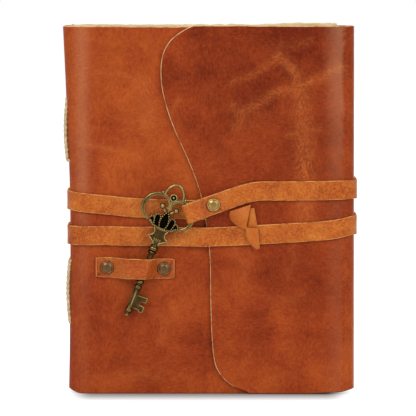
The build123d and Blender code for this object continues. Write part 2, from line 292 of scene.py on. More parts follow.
def apply_modifier(piece: Piece, kind: str, **settings: object) -> None:
    """Add a modifier with its settings and apply it.

    Args:
        piece: Piece to change.
        kind: Modifier's type.
        **settings: Its properties.
    """
    select_only(piece)
    modifier = piece.modifiers.new(kind.title(), kind)
    for key, value in settings.items():
        setattr(modifier, key, value)
    bpy.ops.object.modifier_apply(modifier=modifier.name)


def thicken(
    piece: Piece, thickness: float, edge_round: float, seam: Seam | None = None, inner: int = 0
) -> None:
    """Give a leather sheet its thickness behind its faces, and softly cut edges in the raw-edge material.

    Args:
        piece: Sheet whose faces are its outer side.
        thickness: Thickness in millimetres.
        edge_round: Width of the rounding at the cut edges, in millimetres.
        seam: Tells whether a point in millimetres lies on an end that meets the next sheet and stays square.
        inner: Material slot of the side behind the faces.
    """
    apply_modifier(
        piece, "SOLIDIFY", thickness=thickness * METRES, offset=-1.0, material_offset_rim=RIM_SLOT,
        material_offset=inner, use_even_offset=True,
    )
    mesh = piece.data
    rim, flat = set(), set()
    for face in mesh.polygons:
        side = rim if face.material_index == RIM_SLOT else flat
        side.update(tuple(sorted(key)) for key in face.edge_keys)
    weights = mesh.attributes.new("bevel_weight_edge", "FLOAT", "EDGE")
    for edge, weight in zip(mesh.edges, weights.data):
        key = tuple(sorted(edge.vertices))
        middle = (mesh.vertices[key[0]].co + mesh.vertices[key[1]].co) / 2 / METRES
        weight.value = float(key in rim and key in flat and not (seam and seam(middle)))
    apply_modifier(
        piece, "BEVEL", width=edge_round * METRES, segments=2, limit_method="WEIGHT", material=RIM_SLOT
    )
    shade_smooth(piece)


def shade_smooth(piece: Piece, angle: float = 50.0) -> None:
    """Shade a piece smooth, with its sharp edges kept."""
    select_only(piece)
    bpy.ops.object.shade_smooth_by_angle(angle=math.radians(angle))


def paint_points(piece: Piece, name: str, value: Callable[[Vector], float]) -> None:
    """Write a named number on every point of a mesh.

    Args:
        piece: Mesh object to write on.
        name: Attribute's name, which a material reads.
        value: Gives the number for a point in millimetres.
    """
    attribute = piece.data.attributes.new(name, "FLOAT", "POINT")
    for vertex, item in zip(piece.data.vertices, attribute.data):
        item.value = value(vertex.co / METRES)


def dress(piece: Piece, slot: Slot, *materials: Material) -> None:
    """Give a piece its materials.

    Args:
        piece: Piece to dress.
        slot: Slot of the record; not used.
        *materials: Materials in order, the last of which fills the slots that are left.
    """
    for index in range(MATERIAL_SLOTS):
        piece.data.materials[index] = materials[min(index, len(materials) - 1)]


def paint_rub_and_shade(piece: Piece, front: Vector) -> None:
    """Mark how far a metal piece is rubbed on its beads and ridges, and paint shade on the sides that turn
    from its front.

    Args:
        piece: The metal piece.
        front: Direction that its face looks to; sides that turn from it get painted shade.
    """
    vertices = piece.data.vertices
    bend = [0.0] * len(vertices)
    ties = [1e-9] * len(vertices)
    for edge in piece.data.edges:
        first, second = (vertices[index] for index in edge.vertices)
        step = first.co - second.co
        for vertex, away in ((first, step), (second, -step)):
            bend[vertex.index] += 2.0 * vertex.normal.dot(away) / step.length_squared
            ties[vertex.index] += 1.0
    attribute = piece.data.attributes.new("rub_and_shade", "FLOAT", "POINT")
    for vertex, item in zip(vertices, attribute.data):
        roundness = RUBBED_RADIUS * METRES * bend[vertex.index] / ties[vertex.index]
        ridge = 0.5 + 0.5 * ease(*RUBBED_ROUNDNESS, roundness)
        # Painted shade: the share by facing darkens every side that turns from the front; the ridge share is
        # real rubbing
        item.value = ease(*SHADED_FACING, vertex.normal.dot(front)) * ridge


def face_out(piece: Piece) -> None:
    """Turn the faces of a closed mesh outwards, after merging its doubles.

    Args:
        piece: The closed mesh.
    """
    select_only(piece)
    bpy.ops.object.mode_set(mode="EDIT")
    bpy.ops.mesh.select_all(action="SELECT")
    bpy.ops.mesh.remove_doubles(threshold=1e-6)
    bpy.ops.mesh.normals_make_consistent(inside=False)
    bpy.ops.object.mode_set(mode="OBJECT")


def join_pieces(name: str, parts: Sequence[Piece]) -> Piece:
    """Join several meshes into one piece.

    Args:
        name: Name of the piece.
        parts: Meshes to join.

    Returns:
        The piece.
    """
    clear_selection()
    for part in parts:
        part.select_set(True)
    bpy.context.view_layer.objects.active = parts[0]
    if len(parts) > 1:
        bpy.ops.object.join()
    return named(name)


def wire_up(tree: NodeTree, node: bpy.types.Node, inputs: dict[str | int, object]) -> None:
    """Link or set the inputs of a node.

    Args:
        tree: Node tree of the material.
        node: Node to wire.
        inputs: Another node's output or a plain value for each input, by name or number.
    """
    for socket, source in inputs.items():
        if isinstance(source, Socket):
            tree.links.new(source, node.inputs[socket])
        else:
            node.inputs[socket].default_value = source


def add_node(
    tree: NodeTree, kind: Kind, inputs: dict[str | int, object] | Sequence[object] = (),
    output: str | int = 0, **settings: object,
) -> Socket:
    """Add a shader node with its settings and links.

    Args:
        tree: Node tree of the material.
        kind: Kind of node.
        inputs: Sources or values of its inputs, by name or number, or in order from the first.
        output: Name or number of the output to give back.
        **settings: Properties of the node itself.

    Returns:
        The output of the new node.
    """
    node = tree.nodes.new(kind.value)
    for key, value in settings.items():
        setattr(node, key, value)
    wire_up(tree, node, inputs if isinstance(inputs, dict) else dict(enumerate(inputs)))
    return node.outputs[output]


def new_material(name: str) -> tuple[Material, NodeTree, bpy.types.Node, Socket]:
    """Start a node material.

    Args:
        name: Name of the material.

    Returns:
        The material, its node tree, its shader node and the object's coordinates.
    """
    material = bpy.data.materials.new(name)
    material.use_nodes = True
    tree = material.node_tree
    return material, tree, tree.nodes["Principled BSDF"], add_node(tree, Kind.COORDINATES, output="Object")


def set_stops(colours: Socket, *stops: tuple[float, str]) -> None:
    """Set the stops of a colour ramp.

    Args:
        colours: Output of the ramp.
        *stops: Share and sRGB hex colour of each stop.
    """
    elements = colours.node.color_ramp.elements
    while len(elements) < len(stops):
        elements.new(1.0)
    for element, (share, code) in zip(elements, stops):
        element.position = share
        element.color = srgb(code)


class Route:
    """A line in two coordinates, in millimetres, read by share of its length."""

    ARC_STEPS = 10

    def __init__(self, line: Sequence[Vector]) -> None:
        """Measure the line.

        Args:
            line: Its points in order.
        """
        self.line = list(line)
        self.lengths = [0.0]
        for start, end in zip(self.line, self.line[1:]):
            self.lengths.append(self.lengths[-1] + (end - start).length)

    @classmethod
    def rounded(cls, corners: Sequence[Pair], radius: float) -> "Route":
        """Lay a line through corners and round each inner one.

        Args:
            corners: Corner points, the first and last being the ends.
            radius: Radius of the arc at each inner corner.

        Returns:
            The line.
        """
        spots = [Vector(corner) for corner in corners]
        line = [spots[0]]
        for before, corner, after in zip(spots, spots[1:], spots[2:]):
            to_before = (before - corner).normalized()
            to_after = (after - corner).normalized()
            half = to_before.angle(to_after) / 2
            centre = corner + (to_before + to_after).normalized() * (radius / math.sin(half))
            first = corner + to_before * (radius / math.tan(half)) - centre
            second = corner + to_after * (radius / math.tan(half)) - centre
            for step in range(cls.ARC_STEPS + 1):
                line.append(centre + first.lerp(second, step / cls.ARC_STEPS).normalized() * radius)
        return cls(line + [spots[-1]])

    @classmethod
    def turning(cls, start: Pair, heading: float, arcs: Sequence[Pair]) -> "Route":
        """Lay a line of arcs that run smoothly into each other.

        Args:
            start: First point.
            heading: Direction at the start, in degrees.
            arcs: Radius and turn in degrees of each arc, to the left.

        Returns:
            The line.
        """
        line = [Vector(start)]
        angle = math.radians(heading)
        for radius, turn in arcs:
            centre = line[-1] + Vector((-math.sin(angle), math.cos(angle))) * radius
            for step in range(1, 2 * cls.ARC_STEPS + 1):
                now = angle + math.radians(turn) * step / (2 * cls.ARC_STEPS)
                line.append(centre + Vector((math.sin(now), -math.cos(now))) * radius)
            angle += math.radians(turn)
        return cls(line)

    @classmethod
    def curved(cls, points: Sequence[Pair]) -> "Route":
        """Lay a smooth line through points.

        Args:
            points: Points in order.

        Returns:
            The line.
        """
        xs = [(float(i), point[0]) for i, point in enumerate(points)]
        ys = [(float(i), point[1]) for i, point in enumerate(points)]
        steps = (len(points) - 1) * cls.ARC_STEPS
        places = [step / cls.ARC_STEPS for step in range(steps + 1)]
        return cls([Vector((through(xs, at), through(ys, at))) for at in places])

    @property
    def length(self) -> float:
        """Whole length of the line."""
        return self.lengths[-1]

    def at(self, share: float) -> tuple[Vector, Vector]:
        """Read the line.

        Args:
            share: Share of the length, from zero to one.

        Returns:
            The point, and the direction square to the line on its right-hand side.
        """
        goal = min(max(share, 0.0), 1.0) * self.length
        index = min(max(bisect.bisect_left(self.lengths, goal), 1), len(self.line) - 1)
        start, end = self.line[index - 1], self.line[index]
        span = max(self.lengths[index] - self.lengths[index - 1], 1e-9)
        run = (end - start).normalized()
        return start.lerp(end, (goal - self.lengths[index - 1]) / span), Vector((run.y, -run.x))


@dataclass(frozen=True)
class Layout:
    """Main places of the journal in millimetres, read from the frame."""

    cover_y: float
    back_y: float
    flap_y: float
    height: float
    leather: float
    strap: float
    slip: float

    @classmethod
    def from_frame(cls) -> "Layout":
        """Read the places from the frame's nodes.

        Returns:
            The layout.
        """
        cover_low, cover_high = node_box("front_cover")
        strap_low, strap_high = node_box("strap_upper_left")
        back_high = node_box("back_cover")[1]
        return cls(
            cover_y=cover_low.y, back_y=back_high.y, flap_y=node_box("flap")[0].y,
            height=cover_high.z, leather=cover_high.y - cover_low.y,
            strap=strap_high.y - strap_low.y, slip=cover_low.y - strap_high.y,
        )


@dataclass
class Hide:
    """The soft leather wrap: back, spine and front cover in one sheet, fore edge and flap in another."""

    layout: Layout
    spine_edge: tuple = ((0.0, -77.9), (25.0, -77.4), (105.0, -76.9), (165.0, -78.8), (203.0, -80.4))
    fore_edge: tuple = ((0.0, 80.6), (100.0, 80.2), (203.0, 79.8))
    flap_edge: tuple = (
        (1.0, 21.5), (4.8, 12.4), (12.3, 5.2), (20.7, 2.5), (44.8, 1.0), (80.0, 0.1), (109.8, -4.6),
        (126.0, -10.1), (149.1, -20.2), (166.0, -25.3), (177.8, -26.5), (187.5, -25.3), (194.5, -21.5),
        (199.4, -15.6), (202.7, -9.0), (203.6, -4.0),
    )
    cover_creases: tuple = (
        (((-61.4, 178.8), (-48.0, 176.4), (-36.7, 173.1)), 1.6, 0.65),
        (((-35.0, 172.0), (-33.2, 163.0), (-34.0, 152.0)), 5.0, 0.65),
        (((-71.6, 139.5), (-58.3, 136.9), (-37.9, 131.8)), 1.3, 0.85),
        (((-52.0, 153.0), (-42.0, 150.6)), 1.4, 0.6),
        (((-30.0, 46.0), (-24.0, 40.0), (-27.0, 30.0)), 3.0, 0.45),
        (((-47.0, 8.0), (-38.0, 11.0), (-30.0, 9.0)), 4.0, 0.45),
    )
    flap_creases: tuple = (
        (((37.8, 187.6), (45.6, 180.4), (48.4, 175.4), (50.2, 170.9)), 3.0, 0.85),
        (((71.7, 181.3), (60.3, 174.9), (50.2, 170.4)), 2.8, 0.8),
        (((50.8, 170.0), (36.4, 167.2), (27.9, 161.5), (18.0, 156.5)), 2.8, 0.75),
        (((12.4, 172.8), (23.7, 176.4), (32.8, 183.4), (40.6, 184.2), (47.6, 176.4)), 2.2, 0.45),
        (((49.8, 169.2), (51.2, 158.2), (51.9, 146.0), (52.5, 136.9), (53.3, 119.2), (53.0, 95.0)),
         5.6, 0.85),
        (((43.5, 143.9), (60.3, 147.4)), 2.0, 0.55),
        (((13.0, 160.0), (18.0, 153.0), (15.0, 147.0)), 3.2, 0.5),
        (((-16.6, 163.7), (-20.0, 156.6)), 1.5, 0.5),
        (((56.0, 196.0), (48.0, 192.0), (40.0, 193.0)), 2.4, 0.3),
        (((14.0, 80.0), (21.0, 71.0), (18.0, 64.0)), 4.0, 0.35),
        (((34.0, 53.0), (42.0, 52.5), (52.0, 55.0)), 3.0, 0.3),
        (((46.0, 84.0), (47.0, 74.0), (43.0, 66.0)), 2.4, 0.3),
        (((72.0, 27.0), (79.0, 22.0)), 2.5, 0.45),
    )
    crease_reach: float = 2.5
    seam_x: float = 58.0
    cover_edge_x: float = 69.0
    turn: float = 7.0
    cell: float = 1.7
    edge_round: float = 0.4
    front_y: float = -8.0
    # The cover lies flatter under the flap, from one place to another
    under_flap: Pair = (-34.0, -18.0)
    # The flap doesn't sink where the strap lies under it: the strap's end, and its height and half width
    strap_end: Pair = (18.0, 30.0)
    strap_band: Pair = (101.8, 8.5)
    # The flap's ripples grow with the distance from its middle height
    level_band: Pair = (2.0, 30.0)
    middle_z: float = 100.0
    # Soft forms, each an amount and the stretch that it rises over
    spine_corner: Point = (3.0, -80.5, -67.0)
    cover_lift: Point = (0.9, 24.0, 60.0)
    flap_lifts: tuple = ((0.9, 50.0, 76.0), (1.6, 71.0, 81.0))
    flap_floor: float = 0.3
    edge_sink: Point = (1.15, 46.0, 0.0)
    edge_curl: Point = (0.5, 5.0, 0.0)
    curl_ripple: Point = (1.0, 38.0, 5)
    top_rise: float = 0.25
    flap_top: float = 0.6
    flap_top_fall: Point = (0.25, 0.0, 60.0)
    row_crowding: float = 0.26
    row_density: float = 1.15
    # Ripples, each a height, a size and a layer of the noise
    cover_ripples: tuple = ((0.35, 46.0, 1), (0.16, 15.0, 2))
    flap_ripples: tuple = ((0.22, 52.0, 3), (0.16, 17.0, 4))
    back_ripples: tuple = ((0.3, 48.0, 6), (0.12, 16.0, 7))
    back_sink: float = 0.15
    top_ripple: Point = (0.35, 21.0, 8)

    def cover_swell(self, x: float, z: float) -> float:
        """Give how far the front cover stands out of its flat place, in millimetres: least under the flap."""
        free = 1.0 - ease(*self.under_flap, x)
        return waves(x, z, *self.cover_ripples) * (0.25 + 0.75 * free)

    def flap_swell(self, x: float, z: float) -> float:
        """Give how far the flap stands out of its flat place.

        Args:
            x: Place across, in millimetres.
            z: Height, in millimetres.

        Returns:
            The swell in millimetres, which sinks to the free edge but not over the strap.
        """
        inland = x - through(self.flap_edge, z)
        strap_z, strap_reach = self.strap_band
        over_strap = math.exp(-((z - strap_z) / strap_reach) ** 2) * (1.0 - ease(*self.strap_end, x))
        curl = rise(inland, *self.edge_curl) * waves(3.0, z, self.curl_ripple)
        loose = 0.35 + 0.65 * ease(*self.level_band, abs(z - self.middle_z))
        soft = waves(x, z, *self.flap_ripples) * loose
        return soft + (curl - rise(inland, *self.edge_sink)) * (1.0 - over_strap)

    def back_swell(self, x: float, z: float) -> float:
        """Give how far the back cover stands out of its flat place."""
        return waves(x, z, *self.back_ripples) - self.back_sink

    def bottom(self, x: float) -> float:
        """Give the height of the wrap's lower edge: it lifts at the spine's corner and under the flap's."""
        lift, corner, end = self.spine_corner
        return lift * (1.0 - ease(corner, end, x)) ** 2 + rise(x, *self.cover_lift)

    def flap_bottom(self, x: float) -> float:
        """Give the height of the flap's lower edge: it lifts towards the fore edge."""
        return self.flap_floor + sum(rise(x, *lift) for lift in self.flap_lifts)

    def outward(self, spot: Vector, normal: Vector, z: float, front: Swell) -> Vector:
        """Move a point of a sheet's section by the leather's swell there.

        Args:
            spot: Point in X and Y.
            normal: Outward direction there.
            z: Height, in millimetres.
            front: Swell of the sheet's front.

        Returns:
            The moved point.
        """
        at_front = ease(0.2, 0.9, -normal.y)
        at_back = ease(0.2, 0.9, normal.y)
        swell = front(spot.x, z) * at_front + self.back_swell(spot.x, z) * at_back
        return spot + normal * swell

    def build_covers(self) -> Piece:
        """Lay the sheet from the back, round the spine and over the front.

        Returns:
            The new sheet, thickened.
        """
        place = self.layout
        rows = round(place.height / self.cell)
        routes = []
        for row in range(rows + 1):
            left = through(self.spine_edge, row / rows * place.height)
            corners = [
                (self.seam_x, place.back_y), (left, place.back_y), (left, place.cover_y),
                (self.cover_edge_x, place.cover_y),
            ]
            routes.append(Route.rounded(corners, self.turn))

        def lay(s: float, t: float) -> Point:
            """Give the point at a share along the grid and a share across it."""
            spot, normal = routes[round(t * rows)].at(s)
            spot = self.outward(spot, normal, t * place.height, self.cover_swell)
            low = self.bottom(spot.x)
            top = place.height + self.top_rise + waves(spot.x, spot.y, self.top_ripple)
            return (spot.x, spot.y, low + t * (top - low))

        sheet = sheet_grid("wrap_covers", round(routes[0].length / self.cell), rows, lay)
        add_slots(sheet, 1)
        thicken(
            sheet, place.leather, self.edge_round, lambda p: p.y > 0 and p.x > self.seam_x - 1, FLESH_SLOT
        )
        return sheet

    def build_flap(self) -> Piece:
        """Lay the sheet from the flap's free edge, round the fore edge to the back.

        Returns:
            The new sheet, thickened.
        """
        place = self.layout
        rows = round(place.height / self.cell * self.row_density)
        heights = [self.row_height(row / rows) for row in range(rows + 1)]
        routes = []
        for height in heights:
            right = through(self.fore_edge, height)
            corners = [
                (through(self.flap_edge, height), place.flap_y), (right, place.flap_y), (right, place.back_y),
                (self.seam_x, place.back_y),
            ]
            routes.append(Route.rounded(corners, self.turn))

        def lay(s: float, t: float) -> Point:
            """Give the point at a share along the grid and a share across it."""
            row = round(t * rows)
            spot, normal = routes[row].at(s)
            spot = self.outward(spot, normal, heights[row], self.flap_swell)
            at_front = ease(12.0, -12.0, spot.y)
            low = self.flap_bottom(spot.x) * at_front
            rounded = self.flap_top - rise(spot.x, *self.flap_top_fall)
            top = place.height + self.top_rise + at_front * rounded
            share = heights[row] / place.height
            return (spot.x, spot.y, low + share * (top - low))

        sheet = sheet_grid("wrap_flap", round(routes[rows // 2].length / self.cell), rows, lay)
        add_slots(sheet, 1)
        thicken(
            sheet, place.leather, self.edge_round, lambda p: p.y > 0 and p.x < self.seam_x + 1, FLESH_SLOT
        )
        return sheet

    def crease(self, lines: Sequence[tuple], x: float, z: float, upright: bool) -> float:
        """Give how strongly the leather is creased at a place, by lines that run up or across.

        Args:
            lines: Each line's points, half width and strength.
            x: Place across, in millimetres.
            z: Height, in millimetres.
            upright: Whether to count the runs that go up rather than across.

        Returns:
            Zero away from every line, up to the strength of the nearest one.
        """
        strongest = 0.0
        for points, width, strength in lines:
            for (x0, z0), (x1, z1) in zip(points, points[1:]):
                run_x, run_z = x1 - x0, z1 - z0
                if upright != (abs(run_z) > abs(run_x)):
                    continue
                along = ((x - x0) * run_x + (z - z0) * run_z) / (run_x**2 + run_z**2)
                along = min(max(along, 0.0), 1.0)
                away = math.hypot(x - x0 - along * run_x, z - z0 - along * run_z) / width
                if away < self.crease_reach:
                    strongest = max(strongest, strength * math.exp(-away**2))
        return strongest

    def row_height(self, share: float) -> float:
        """Give a flap row's height for its share: rows lie closer where the free edge turns at both ends."""
        return self.layout.height * (share - self.row_crowding * math.sin(math.tau * share) / math.tau)

    def paint(self, sheet: Piece, tone: Callable, painted_sheen: Callable, lines: Sequence[tuple]) -> None:
        """Write a sheet's tone, painted sheen and creases for its material.

        Args:
            sheet: Sheet to write on.
            tone: Gives the tone for a point.
            painted_sheen: Gives the painted sheen, a pale highlight band, for a point.
            lines: Creases of its front.
        """
        paint_points(sheet, "tone", tone)
        paint_points(sheet, "painted_sheen", painted_sheen)
        for name, upright in (("crease_up", True), ("crease_across", False)):
            paint_points(
                sheet, name, lambda p: self.crease(lines, p.x, p.z, upright) if p.y < self.front_y else 0.0
            )

    def build(self, leather: Material, raw_edge: Material, flesh: Material) -> list[Piece]:
        """Build and dress both sheets.

        Args:
            leather: Material of the faces.
            raw_edge: Material of the cut edges.
            flesh: Material of the inner side.

        Returns:
            The two pieces.
        """
        covers = self.build_covers()
        self.paint(covers, self.cover_tone, self.cover_sheen, self.cover_creases)
        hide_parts("back_cover", "spine_panel", "front_cover")
        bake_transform(covers)
        flap = self.build_flap()
        self.paint(flap, self.flap_tone, self.flap_sheen, self.flap_creases)
        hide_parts("fore_edge_panel", "flap")
        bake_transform(flap)
        for sheet in (covers, flap):
            dress(sheet, Slot.WRAP, leather, raw_edge)
            sheet.data.materials[FLESH_SLOT] = flesh
        return [covers, flap]

    def cover_tone(self, p: Vector) -> float:
        """Shade the covers: zero is the darker, redder leather and one the lighter tan of the upper half."""
        return 0.5 + rise(p.z, 0.13, 60.0, 130.0) + waves(p.x, p.z, (0.2, 34.0, 9))

    def cover_sheen(self, p: Vector) -> float:
        """Give the covers' painted sheen: a smooth pale band on the spine's rounding, where a highlight is
        painted.
        """
        spine = math.exp(-((p.x + 69.8) / 3.8) ** 2) * ease(0.0, -10.0, p.y)
        return spine * (0.06 + rise(p.z, 0.2, 40.0, 150.0)) * (1.0 + waves(p.x, p.z, (0.3, 18.0, 10)))

    def flap_tone(self, p: Vector) -> float:
        """Shade the flap, darker and redder towards its top."""
        clouds = waves(p.x, p.z, (0.16, 40.0, 11), (0.1, 13.0, 12))
        return 0.26 + rise(p.x, 0.14, 72.0, 76.0) + rise(p.z, 0.24, 130.0, 50.0) + clouds

    def flap_sheen(self, p: Vector) -> float:
        """Give the flap's painted sheen: a pale band beside its fold, strongest at the top, and a painted
        highlight on the rim.
        """
        fold = ease(61.0, 72.0, p.x) * ease(74.3, 73.3, p.x) * (0.08 + rise(p.z, 0.24, 100.0, 195.0))
        rim = rise(p.x, 0.5, 79.2, 80.2) * ease(5.0, -4.0, p.y)
        return (fold * ease(0.0, -10.0, p.y) + rim) * (1.0 + waves(p.x, p.z, (0.3, 15.0, 13)))


@dataclass
class Strap:
    """The long strap that goes twice round the book, cut only where the journal opens."""

    layout: Layout
    hide: Hide
    width: float = 10.5
    turn: float = 8.5
    cell: float = 1.1
    across: int = 8
    edge_round: float = 0.35
    cupping: float = 0.12
    # Middle lines of the stretches on the front, as places across and heights
    upper_left: tuple = ((-79.0, 107.7), (-60.0, 105.4), (-37.0, 103.5), (-7.7, 102.4), (18.0, 101.4))
    lower_left: tuple = ((-79.0, 88.3), (-34.0, 87.8), (-1.0, 87.5))
    lower_front: tuple = ((-1.0, 87.5), (20.0, 88.5), (42.6, 89.9), (67.0, 91.6), (79.0, 94.0))
    upper_front: tuple = ((42.6, 112.9), (62.0, 113.3), (79.0, 113.8))
    # The lower stretch climbs over the flap's edge, and is cut there
    climb_x: float = -15.0
    climb_end: float = 1.5
    cut_x: float = -1.0
    seam_reach: float = 0.4
    middle_z: float = 100.0
    crossing_x: float = 60.0
    # The end turns down to the key: its tip, its bend, and its plies by distance from the tip
    tongue_x: float = 62.0
    end_tip: Pair = (-13.5, 100.1)
    end_bend: Pair = (23.5, 113.0)
    end_bend_radius: float = 42.0
    hidden_ply: float = 22.9
    loop_run: float = 9.0
    pressed: Pair = (13.0, 20.6)
    band_start: float = 27.0
    on_flap: Pair = (24.0, 34.0)
    ply_gap: float = 0.1
    rivet_radius: float = 3.7
    rivet_rise: float = 1.4
    # Corners of each facet of the knot from its lower left on, then its crown, belly and bow
    knot_facets: tuple = (
        ("knot_left", (11.8, 97.3, -0.2), (20.5, 91.9, -2.4), (23.0, 105.9, -2.7), (11.5, 102.0, -0.1),
         (1.2, 0.9, 0.5)),
        ("knot_right", (20.9, 92.9, -1.0), (27.0, 92.4, -0.6), (25.2, 104.0, -0.5), (22.0, 103.9, -1.1),
         (1.0, 0.0, 0.0)),
        ("knot_tail", (25.7, 81.1, -2.0), (28.1, 81.7, -2.0), (27.1, 92.7, -2.1), (20.6, 93.3, -2.4),
         (0.7, 0.2, 2.3)),
    )
    knot_cells: tuple = (10, 12)
    knot_sink: float = 0.6
    knot_ripple: Point = (0.05, 3.0, 0)
    # Ripples, each a height, a size and a layer of the noise
    edge_ripple: Point = (0.22, 13.0, 20)
    face_ripple: Point = (0.1, 9.0, 21)
    tone_ripples: tuple = ((0.3, 19.0, 22), (0.2, 6.0, 23))
    tongue_edge_ripple: Point = (0.2, 12.0, 24)
    tongue_face_ripple: Point = (0.1, 8.0, 25)

    @property
    def stand_off(self) -> float:
        """Distance from the leather to the strap's outer face."""
        return self.layout.strap + self.layout.slip

    def band(
        self, name: str, corners: Sequence[Pair], centres: Sequence[Pair], swell: Swell, seam: Seam
    ) -> Piece:
        """Lay one stretch of the strap in place of its node.

        Args:
            name: Name of the frame's node that the piece stands for.
            corners: Route of its outer face in X and Y.
            centres: Height of its middle line by X.
            swell: Swell of the leather beneath, by X and Z.
            seam: Tells the ends that meet the next stretch.

        Returns:
            The new piece, thickened.
        """
        route = Route.rounded(corners, self.turn)

        def lay(s: float, t: float) -> Point:
            """Give the point at a share along the grid and a share across it."""
            spot, normal = route.at(s)
            edge = 2.0 * t - 1.0
            sway = waves(spot.x + spot.y, 4.0 * edge, self.edge_ripple)
            height = through(centres, spot.x) + edge * self.width / 2 + sway
            lift = swell(spot.x, height) * abs(normal.y) + waves(spot.x, height, self.face_ripple)
            spot = spot + normal * (lift + self.cupping * edge**2)
            return (spot.x, spot.y, height)

        piece = sheet_grid(f"{name}_band", round(route.length / self.cell), self.across, lay)
        thicken(piece, self.layout.strap, self.edge_round, seam)
        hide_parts(name)
        return piece

    def climb_swell(self, x: float, z: float) -> float:
        """Pass from the cover's swell to the flap's where the lower band climbs over the edge."""
        share = ease(self.climb_x, self.cut_x, x)
        return self.hide.cover_swell(x, z) * (1 - share) + self.hide.flap_swell(x, z) * share

    def build(
        self, leather: Material, raw_edge: Material, knot_leather: Material, knot_shaded_edge: Material
    ) -> list[Piece]:
        """Build every stretch and dress it.

        Args:
            leather: Material of the faces.
            raw_edge: Material of the cut edges.
            knot_leather: Material of the knot's faces, smooth where the leather is folded tight.
            knot_shaded_edge: Material of the knot's edges, dark as painted shade in the gaps between its
                facets.

        Returns:
            The pieces.
        """
        bands = self.build_bands() + [self.build_tongue()]
        knot = self.build_knot()
        for piece in bands:
            dress(piece, Slot.STRAP, leather, raw_edge)
        for piece in knot:
            dress(piece, Slot.STRAP, knot_leather, knot_shaded_edge)
        for piece in bands + knot:
            paint_points(piece, "tone", lambda p: 0.5 + waves(p.x, p.z, *self.tone_ripples))
        return bands + knot

    def build_bands(self) -> list[Piece]:
        """Lay the stretches on the front, and the two passes that cross at the back.

        Returns:
            The pieces.
        """
        place = self.layout
        over = self.stand_off
        left = through(self.hide.spine_edge, self.middle_z) - over
        right = through(self.hide.fore_edge, self.middle_z) + over
        cover_y, flap_y, back_y = place.cover_y - over, place.flap_y - over, place.back_y + over
        middle_y = (place.flap_y + place.back_y) / 2
        under_end = self.upper_left[-1][0]
        climb = [(self.climb_x, cover_y), (self.cut_x - self.climb_end, flap_y), (self.cut_x, flap_y)]
        pieces = []
        for name, front, centres, swell in (
            ("strap_upper_left", [(under_end, cover_y)], self.upper_left, self.hide.cover_swell),
            ("strap_lower_left", climb, self.lower_left, self.climb_swell),
        ):
            piece = self.band(
                name, [(left, 0.0), (left, cover_y)] + front, centres, swell,
                lambda p: p.y > -1.0 or p.x > self.cut_x - self.seam_reach,
            )
            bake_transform(piece)
            pieces.append(piece)
        for name, start, centres in (
            ("strap_lower_front", self.cut_x, self.lower_front),
            ("strap_upper_front", self.tongue_x, self.upper_front),
        ):
            piece = self.band(
                name, [(start, flap_y), (right, flap_y), (right, middle_y)], centres, self.hide.flap_swell,
                lambda p: p.x < start + self.seam_reach or p.y > middle_y - 0.5,
            )
            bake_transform(piece)
            pieces.append(piece)
        for name, spine_z, fore_z, back in (
            ("strap_first_pass", self.upper_left[0][1], self.lower_front[-1][1], back_y),
            ("strap_second_pass", self.lower_left[0][1], self.upper_front[-1][1], back_y + over),
        ):
            slope = ((left, spine_z), (-self.crossing_x, spine_z), (self.crossing_x, fore_z), (right, fore_z))
            piece = self.band(
                name, [(right, middle_y), (right, back), (left, back), (left, 0.0)], slope,
                self.hide.back_swell, lambda p: p.y < max(middle_y, 0.0) + 0.5,
            )
            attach(piece, Body.BOOK.value)
            pieces.append(piece)
        return pieces

    def build_tongue(self) -> Piece:
        """Lay the strap's end: along the flap, down to the key, round its bow and back to the rivet.

        Returns:
            The new piece.
        """
        end_low, end_high = node_box("strap_end")
        rear_y, loop_y = end_high.y, end_low.y
        band_y = self.layout.flap_y - self.stand_off
        ply_y = rear_y - 2 * self.layout.strap - self.ply_gap
        far_end = (self.tongue_x, through(self.upper_front, self.tongue_x))
        line = Route.rounded([self.end_tip, self.end_bend, far_end], self.end_bend_radius)
        plies = Route.rounded(
            [(self.hidden_ply, rear_y), (0.0, rear_y), (0.0, loop_y), (self.loop_run, loop_y),
             (self.pressed[0], ply_y), (self.pressed[1], ply_y), (self.band_start, band_y),
             (line.length, band_y)],
            (abs(loop_y - rear_y) - self.ply_gap) / 2,
        )

        def lay(s: float, t: float) -> Point:
            """Give the point at a share along the grid and a share across it."""
            spot, normal = plies.at(s)
            centre, side = line.at(spot.x / line.length)
            edge = 2.0 * t - 1.0
            sway = waves(spot.x, 4.0 * edge + 40.0, self.tongue_edge_ripple)
            flat = centre - side * (edge * self.width / 2 + sway)
            lift = ease(*self.on_flap, spot.x) * self.hide.flap_swell(flat.x, flat.y)
            lift += waves(spot.x, flat.y, self.tongue_face_ripple)
            return (flat.x, spot.y + normal.y * lift, flat.y)

        piece = sheet_grid("strap_tongue", round(plies.length / self.cell), self.across, lay)
        thicken(piece, self.layout.strap, self.edge_round, lambda p: p.x > self.tongue_x - self.seam_reach)
        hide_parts("strap_end")
        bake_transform(piece)
        return piece

    def build_rivet(self, metal: Material) -> Piece:
        """Set the rivet that holds the strap's folded end.

        Args:
            metal: Material of the rivet.

        Returns:
            The rivet's head, riding on the strap's end.
        """
        low, high = node_box("strap_rivet")
        seat = ((low.x + high.x) / 2, low.y + self.rivet_rise, (low.z + high.z) / 2)
        rivet = rivet_head("strap_rivet_cap", seat, self.rivet_radius, self.rivet_rise)
        dress(rivet, Slot.BRIGHT_RIVET, metal)
        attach(rivet, Body.STRAP_END.value)
        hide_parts("strap_rivet")
        return rivet

    def build_knot(self) -> list[Piece]:
        """Fold the strap's start: two facets out of the flap's slit and a pointed tail over the lower band.

        Returns:
            The pieces of the knot.
        """
        seat = self.layout.flap_y - self.stand_off + self.knot_sink
        pieces = []
        for name, low_left, low_right, high_right, high_left, (crown, belly, bow) in self.knot_facets:

